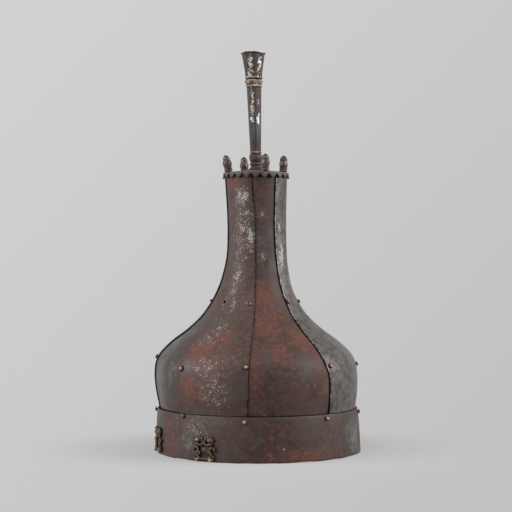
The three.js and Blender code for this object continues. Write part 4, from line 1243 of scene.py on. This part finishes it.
# Odd or even columns, from and to which share of the height, and how far they are pressed in
PRESSED_COLUMNS = [(1, 0.3, 0.61, 0.8), (0, 0.68, 0.95, 0.78)]
ROUNDING_LOSS = 1.08  # what the rounding takes off the radius
knob_outline = clenched_shank(KNOB_PEEN, -KNOB_GRIP - PIECE_GAP, KNOB_SHANK, PIECE_GAP)
knob_outline += profile(KNOB_PROFILE, 0, KNOB_RADIUS, PIECE_GAP, KNOB_HEIGHT)
bud = draw_outline("bud", knob_outline)
spin_sheet(bud, 360, BUD_COLUMNS)
places = places_of(bud)
rises = (places[:, 2] - PIECE_GAP) / KNOB_HEIGHT
column = np.round((azimuths_of(places) - 90) * BUD_COLUMNS / 360).astype(int) % 2
for odd, low, high, press in PRESSED_COLUMNS:
    places[(column == odd) & (rises > low) & (rises < high), :2] *= press
put_places(bud, places)
apply_modifier(bud, "SUBSURF", levels=2, render_levels=2)
places = places_of(bud)
places[places[:, 2] > PIECE_GAP, :2] *= ROUNDING_LOSS
put_places(bud, places)
dent(bud, blow_marks, 0.35, middle=0.6)
print("bud:", len(bud.data.vertices), "vertices")

# %% Stand the buds on the cap
KNOB_CIRCLE = 29.2
KNOB_SEATS = [(-80, 3.5), (19, 1.5), (98, -3.5), (205, -3)]  # azimuth, and lean beyond the cap's
KNOB_WAISTS = (0.15, 0.245, 0.66)  # the grooves painted black, as dirt and as shade, as shares of the height
KNOB_DIRT_AND_SHADE_REACH = 0.4
# Filed iron that was never scoured bare: dark red-brown under thick wax, with sharp highlights
knob_iron = old_iron(
    "waxed_red_brown_knob_iron", 0x4C3832, 0x2E211E, 0x66453B, 0x5A4C47,
    rust_bias=0.05, steel_bias=-0.5, roughness=0.24, shine=0.6,
)
rises = (places_of(bud)[:, 2] - PIECE_GAP) / KNOB_HEIGHT
to_waist = np.min([np.abs(rises - waist) for waist in KNOB_WAISTS], axis=0)
for number, (azimuth, extra_lean) in enumerate(KNOB_SEATS):
    lean = CAP_SLOPE + math.radians(extra_lean)
    place = around(KNOB_CIRCLE, azimuth, cap_top(KNOB_CIRCLE))
    outward = around(math.sin(lean), azimuth, math.cos(lean))
    piece = duplicate(bud, f"knob_{number + 1}_turned")
    set_square(piece, place, outward, math.radians(17 * number))
    paint_patches(piece, crevice_mm=to_waist * KNOB_HEIGHT - KNOB_DIRT_AND_SHADE_REACH)
    finish_piece(piece, f"knob_{number + 1}", knob_iron, crease=60)
bpy.data.objects.remove(bud)

# %% [markdown]
# ## Plume tube
#
# The tube is forged to eight sides and drawn out with a swage: a flared foot, a bulb between rings,
# a long shaft, a ringed collar and a funnel for the plume. It was once sheathed in silver, which is
# left in patches. The outline is spun in eight steps, so that the sides stay flat.

# %% The tube's sizes and profiles
TUBE_SIDES, TUBE_TWIST = 8, 4.6
FLARE_RADIUS, FLARE_HEIGHT = 11.2, 4
BULB_RADIUS, BULB_ZONE = 7, 15.8
SHAFT_HEIGHT, SHAFT_FOOT_RADIUS, SHAFT_TOP_RADIUS, SHAFT_STEPS = 67.5, BULB_RADIUS * 0.84, 7.8, 24
COLLAR_RADIUS, COLLAR_ZONE = 9.4, 12.4
FUNNEL_HEIGHT, LIP_RADIUS, LIP_HEIGHT = 22.5, 13.5, 2.4
TUBE_WALL, SOCKET_FLOOR = 1.3, 3.5
TENON_PEEN = [(0, 1.4), (2.9, 1.2), (3.9, 0.3), (3.9, 0)]
WASHER_RADIUS, WASHER_THICKNESS, WASHER_EDGE = 8.5, 1.2, 0.3
FLARE_PROFILE = [(0, 0), (0.08, 0.12), (0.2, 0.42), (0.35, 0.62), (0.55, 0.8), (0.8, 0.94)]
BULB_PROFILE = [
    (0, 0.76), (0.03, 0.8), (0.06, 0.88), (0.13, 0.92), (0.2, 0.9), (0.235, 0.84), (0.27, 0.79),
    (0.3, 0.8), (0.34, 0.88), (0.42, 0.94), (0.5, 0.98), (0.6, 1), (0.7, 0.99), (0.76, 0.95),
    (0.8, 0.84), (0.83, 0.79), (0.86, 0.84), (0.89, 0.91), (0.93, 0.93), (0.97, 0.9), (1, 0.84),
]
COLLAR_PROFILE = [
    (0, 0.83), (0.04, 0.9), (0.1, 0.95), (0.17, 0.945), (0.22, 0.89), (0.27, 0.85), (0.31, 0.88),
    (0.36, 0.96), (0.45, 1), (0.58, 1), (0.64, 0.95), (0.68, 0.89), (0.72, 0.9), (0.77, 1),
    (0.86, 1.03), (0.94, 1), (0.97, 0.95), (1, 0.95),
]
FUNNEL_PROFILE = [(0.2, 0.1), (0.4, 0.24), (0.6, 0.4), (0.8, 0.55), (1, 0.7)]
LIP_PROFILE = [(0.3, 0.95), (0.55, 0.985), (0.8, 1), (0.95, 0.99), (1, 0.975)]

# %% The tube's outline, from the clenched tenon up and down again inside
tube_seat = cap_top(FLARE_RADIUS) + PIECE_GAP
shaft_foot = FLARE_HEIGHT + BULB_ZONE
collar_foot = shaft_foot + SHAFT_HEIGHT
funnel_foot = collar_foot + COLLAR_ZONE
lip_foot = funnel_foot + FUNNEL_HEIGHT
bulb_foot_radius, funnel_foot_radius = BULB_RADIUS * BULB_PROFILE[0][1], COLLAR_RADIUS * 0.95
shaft_shares = [(step / SHAFT_STEPS, step / SHAFT_STEPS) for step in range(1, SHAFT_STEPS)]
clench = cap_under(WASHER_RADIUS) - PIECE_GAP * 2 - WASHER_THICKNESS - tube_seat
tenon_top = cap_top(TENON_RADIUS) + PIECE_GAP - tube_seat
tube_outline = clenched_shank(TENON_PEEN, clench, TENON_RADIUS, tenon_top)
for shares, start_radius, end_radius, foot, length in (
    (FLARE_PROFILE, FLARE_RADIUS, bulb_foot_radius, 0, FLARE_HEIGHT),
    (BULB_PROFILE, 0, BULB_RADIUS, FLARE_HEIGHT, BULB_ZONE),
    (shaft_shares, SHAFT_FOOT_RADIUS, SHAFT_TOP_RADIUS, shaft_foot, SHAFT_HEIGHT),
    (COLLAR_PROFILE, 0, COLLAR_RADIUS, collar_foot, COLLAR_ZONE),
    (FUNNEL_PROFILE, funnel_foot_radius, LIP_RADIUS, funnel_foot, FUNNEL_HEIGHT),
    (LIP_PROFILE, 0, LIP_RADIUS, lip_foot, LIP_HEIGHT),
):
    tube_outline += profile(shares, start_radius, end_radius, foot, length)
tube_outline += [
    (LIP_RADIUS - TUBE_WALL, lip_foot + LIP_HEIGHT),
    (blend(funnel_foot_radius, LIP_RADIUS, FUNNEL_PROFILE[-1][1]) - TUBE_WALL, lip_foot),
    (funnel_foot_radius - TUBE_WALL, funnel_foot),
    (SHAFT_TOP_RADIUS - TUBE_WALL, collar_foot),
    (SHAFT_FOOT_RADIUS - TUBE_WALL, shaft_foot + SOCKET_FLOOR),
    (0, shaft_foot + SOCKET_FLOOR),
]
mouth = tube_seat + lip_foot + LIP_HEIGHT
print("tube outline points:", len(tube_outline), "mouth at", round(mouth, 1), "mm")

# %% Spin the eight sides and wear the lip
MOUTH_WEAR, MOUTH_CLEARANCE = 2.0, 0.06
tube = draw_outline("plume_tube_forged", tube_outline, TUBE_TWIST)
spin_sheet(tube, 360, TUBE_SIDES)
break_edges(tube, 0.35, segments=3, sharper_than=35)
edit_all(tube)
bpy.ops.mesh.subdivide(number_cuts=2)
start_clean()
places = places_of(tube)
near_mouth = np.clip((places[:, 2] - lip_foot + 1) / (LIP_HEIGHT + 1), 0, 1)
worn = np.array([max(0, noise.noise(Vector(place) / 6) + 0.15) for place in places])
places[:, 2] += tube_seat - (MOUTH_WEAR * worn + MOUTH_CLEARANCE) * near_mouth
put_places(tube, places)
dent(tube, blow_marks, 0.22, middle=0.7)
print("tube:", len(tube.data.vertices), "vertices")

# %% Where silver is left, as ovals like the patches
SILVER_OVALS = [
    (-18, 411, 2.8, 8, 1.15), (-26, 400, 3.2, 5, 1.1), (40, 410, 1.8, 8, 1.3),
    (36, 400, 1.8, 5, 1.0), (-34, 396, 3, 3, 0.8), (-20, 386, 4, 1.6, 1.1),
    (32, 388, 3, 1.6, 1.1), (-20, 378, 2.4, 5, 1.1), (-17, 370, 2, 4, 1.15),
    (-22, 361, 2.3, 5, 1.25), (-26, 352, 2.4, 6, 1.1), (30, 351, 2, 6, 1.2),
    (-20, 344, 2, 4, 0.8), (40, 372, 1, 12, 0.7), (150, 405, 5, 8, 1.1), (200, 375, 2.5, 12, 1.0),
    (250, 410, 3, 6, 1.1), (120, 352, 2, 9, 1.0),
]

# %% Paint the tube and finish it
TUBE_GROOVES = [0, FLARE_HEIGHT + 0.27 * BULB_ZONE, FLARE_HEIGHT + 0.83 * BULB_ZONE]
TUBE_GROOVES += [collar_foot + share * COLLAR_ZONE for share in (0, 0.27, 0.68, 0.98)]
TUBE_CRESTS = [FLARE_HEIGHT + 0.92 * BULB_ZONE]
TUBE_CRESTS += [collar_foot + share * COLLAR_ZONE for share in (0.12, 0.4, 0.6, 0.86)]
CREST_REACH, CREST_RUBBING = 1.0, 0.78  # how far each ring is rubbed, and how much
# The tube is painted darker near its corners and ring crests, and black in its grooves, as dirt and
# as shade
CORNER_OFFSET, GROOVE_DIRT_AND_SHADE_REACH = 0.4, 0.45
# Dark forged iron with torn flakes of bright silver sheet, its rings rubbed to a coppery shine
tube_iron = old_iron(
    "tube_iron_with_silver_sheet_left", 0x483C38, 0x352B28, 0x5F4740, 0x67615E,
    rust_bias=-0.15, roughness=0.4, shine=0.35, worn=0xC7A594, sheathing=0xD8D1CB,
)
places = places_of(tube)
paint(tube, "silver", oval_amount(places, SILVER_OVALS))
heights = places[:, 2] - tube_seat
to_groove = np.min([np.abs(heights - groove) for groove in TUBE_GROOVES], axis=0)
to_crest = np.min([np.abs(heights - crest) for crest in TUBE_CRESTS], axis=0)
corners = (azimuths_of(places) - TUBE_TWIST) * TUBE_SIDES / 360
to_corner = np.abs(corners - np.round(corners)) * 2 * math.pi / TUBE_SIDES * reaches_of(places)
wear_and_glint_amount = np.where(to_crest < CREST_REACH, CREST_RUBBING, 0.0)
edge = np.minimum(to_crest, to_corner + CORNER_OFFSET)
paint_patches(tube, edge, to_groove - GROOVE_DIRT_AND_SHADE_REACH, wear_and_glint_amount)
finish_piece(tube, "plume_tube", tube_iron, crease=32)

# %% The washer that the tenon is clenched over, under the cap
washer_top = cap_under(WASHER_RADIUS) - PIECE_GAP
washer_low = washer_top - WASHER_THICKNESS
washer_outline = [
    (bore_radius, washer_low),
    (WASHER_RADIUS - WASHER_EDGE, washer_low),
    (WASHER_RADIUS, washer_low + WASHER_EDGE),
    (WASHER_RADIUS, washer_top - WASHER_EDGE),
    (WASHER_RADIUS - WASHER_EDGE, washer_top),
    (bore_radius, washer_top),
    (bore_radius, washer_low),
]
washer = draw_outline("tenon_washer_cut", washer_outline)
spin_sheet(washer, 360, 32)
paint_patches(washer, WASHER_RADIUS - reaches_of(places_of(washer)), wear_and_glint_amount=0.4)
finish_piece(washer, "tenon_washer", cap_iron)

# %% [markdown]
# ## Brow mounts
#
# Two small mounts of cast, gilded copper alloy are left of a row that once ran round the band. Each
# is an openwork of scrolls and leaves between two feet. The stems are drawn as curves with a round
# section, fused by a voxel Remesh as the wax for a casting would be, cut flat at the back and bent
# onto the band. The gilding is worn to the high points over dark tarnish, and the highest points get
# a pale painted highlight.

# %% Stems of the openwork, across and up as shares of its width and height
STEM_RADIUS, STEM_OUT, STEM_TIP, STEM_TAPER = 1.4, 1.2, 0.62, 0.25
WAX_GRAIN = 0.3  # the size of the voxels that fuse the stems
HALF_STEMS = [
    [(-0.17, 0.78), (-0.13, 0.88), (-0.23, 0.955), (-0.36, 0.91), (-0.4, 0.76), (-0.31, 0.61)],
    [(-0.31, 0.61), (-0.27, 0.45), (-0.31, 0.29), (-0.22, 0.13), (-0.08, 0.07)],
    [(-0.3, 0.3), (-0.41, 0.2), (-0.41, 0.08), (-0.3, 0.05)],
    [(-0.29, 0.5), (-0.39, 0.53), (-0.47, 0.47), (-0.45, 0.39)],
    [(0, 0.66), (-0.06, 0.8), (-0.08, 0.95)],
    [(-0.34, 0.88), (-0.27, 0.8), (-0.24, 0.72)],
    [(-0.24, 0.4), (-0.2, 0.33), (-0.22, 0.26)],
]
MIDDLE_STEMS = [
    [(-0.34, 0.71), (-0.17, 0.64), (0, 0.7), (0.17, 0.64), (0.34, 0.71)],
    [(-0.2, 0.08), (0, 0.12), (0.2, 0.08)],
]
BOSSES = [(-0.26, 0.82), (0.26, 0.82), (-0.3, 0.08), (0.3, 0.08)]
BOSS_RADIUS, BOSS_OUT = 2.4, 1.6
print("stems:", 2 * len(HALF_STEMS) + len(MIDDLE_STEMS), "bosses:", len(BOSSES))


# %% A stem as a round curve
def draw_stem(points):
    """A curve through the points with a round section that thins towards both ends."""
    curve = bpy.data.curves.new("stem", "CURVE")
    curve.dimensions = "3D"
    curve.bevel_depth = STEM_RADIUS * MM
    curve.bevel_resolution = 3
    curve.use_fill_caps = True
    last = len(points) - 1
    shares = np.linspace(0, last, 6 * len(points))
    spline = curve.splines.new("POLY")
    spline.points.add(len(shares) - 1)
    across = smooth_through([(i, x) for i, (x, _) in enumerate(points)])
    up = smooth_through([(i, y) for i, (_, y) in enumerate(points)])
    for point, share in zip(spline.points, shares):
        x, y = across(share) * MOUNT_WIDTH * MM, up(share) * MOUNT_HEIGHT * MM
        point.co = (x, y, STEM_OUT * MM, 1)
        to_end = min(share, last - share) / last
        point.radius = blend(STEM_TIP, 1, min(1, to_end / STEM_TAPER))
    stem = bpy.data.objects.new("stem", curve)
    bpy.context.scene.collection.objects.link(stem)
    return stem


# %% Cast one mount
start_clean()
stems = [draw_stem(points) for points in MIDDLE_STEMS]
for points in HALF_STEMS:
    stems += [draw_stem(points), draw_stem([(-across, up) for across, up in points])]
for across, up in BOSSES:
    start_clean()
    centre = (across * MOUNT_WIDTH * MM, up * MOUNT_HEIGHT * MM, BOSS_OUT * MM)
    bpy.ops.mesh.primitive_uv_sphere_add(
        segments=16, ring_count=10, radius=BOSS_RADIUS * MM, location=centre
    )
    stems.append(bpy.context.object)
start_clean()
for stem in stems:
    stem.select_set(True)
bpy.context.view_layer.objects.active = stems[0]
bpy.ops.object.convert(target="MESH")
bpy.ops.object.join()
mount = bpy.context.object
mount.name = mount.data.name = "brow_mount"
bpy.ops.object.transform_apply(location=True, rotation=True, scale=True)
apply_modifier(mount, "REMESH", mode="VOXEL", voxel_size=WAX_GRAIN * MM)
apply_modifier(mount, "SMOOTH", factor=0.6, iterations=3)
dent(mount, blow_marks, 0.7, middle=0.55)
edit_all(mount)
bpy.ops.mesh.bisect(
    plane_co=(0, 0, 0), plane_no=(0, 0, 1), clear_inner=True, use_fill=True, threshold=1e-6
)
start_clean()
print("mount:", len(mount.data.vertices), "vertices")

# %% Two pins at the back, clenched inside the band
PIN_RADIUS, PIN_SHARES = 0.9, (0.7, 0.12)
PIN_TOP = 0.9  # how far a pin reaches into its mount
PIN_PEEN = [(0, 0.7), (1.1, 0.6), (1.5, 0.15), (1.5, 0)]
clench = -PIECE_GAP * 2 - BAND_THICKNESS
pin_outline = clenched_shank(PIN_PEEN, clench, PIN_RADIUS, PIN_TOP) + [(0, PIN_TOP)]
pin = draw_outline("pin", pin_outline)
spin_sheet(pin, 360, 14)
for up in PIN_SHARES:
    copy = duplicate(pin, "pin_copy")
    copy.data.transform(Matrix.Translation(Vector((0, up * MOUNT_HEIGHT, 0)) * MM))
    pick(mount)
    copy.select_set(True)
    bpy.ops.object.join()
bpy.data.objects.remove(pin)
print("mount with pins:", len(mount.data.vertices), "vertices")

# %% Bend the mounts onto the band
MOUNT_DEPTH, MOUNT_SINK = 3.4, 0.2
for node, (azimuth, foot) in MOUNT_SEATS.items():
    piece = duplicate(mount, f"{node}_cast")
    flat = places_of(piece)
    paint(piece, "raised", np.clip(flat[:, 2] / MOUNT_DEPTH, 0, 1))
    places = np.empty_like(flat)
    for row, (across, up, out) in enumerate(flat):
        turn = azimuth + math.degrees(across / BAND_RIM_RADIUS)
        radius = band_radius(foot + up) + PIECE_GAP + out - MOUNT_SINK
        places[row] = around(radius, turn, foot + up)
    put_places(piece, places)
    finish_piece(piece, node, gilt_alloy, crease=60)
bpy.data.objects.remove(mount)

# %% [markdown]
# ## Floor
#
# The floor is the same paper, a disc that takes the helmet's soft shadow near it and fades out into
# the backdrop before its edge.

# %% The paper floor
FLOOR_RADIUS, FADE_START, FADE_END, FLOOR_SHARE = 1.1, 0.11, 0.27, 0.5
start_clean()
bpy.ops.mesh.primitive_circle_add(vertices=96, radius=FLOOR_RADIUS, fill_type="NGON")
floor = bpy.context.object
floor.name = floor.data.name = "paper_floor"
paper_material = bpy.data.materials.new("grey_paper")
tree = own_nodes(paper_material)
LENGTH = ("ShaderNodeVectorMath", {"operation": "LENGTH"}, "Value", 0)
reach = add_node(tree, LENGTH, add_node(tree, PLACE))
near = add_node(tree, SMOOTH, reach, FADE_END, FADE_START, FLOOR_SHARE)
paper_face = add_node(tree, ("ShaderNodeBsdfDiffuse", {}, 0, "Color"), colour(0xCACACA))
clear = add_node(tree, ("ShaderNodeBsdfTransparent", {}, 0))
add_node(tree, SURFACE, add_node(tree, BLENDED, near, clear, paper_face))
floor.data.materials.append(paper_material)
print("floor nodes:", len(tree.nodes))
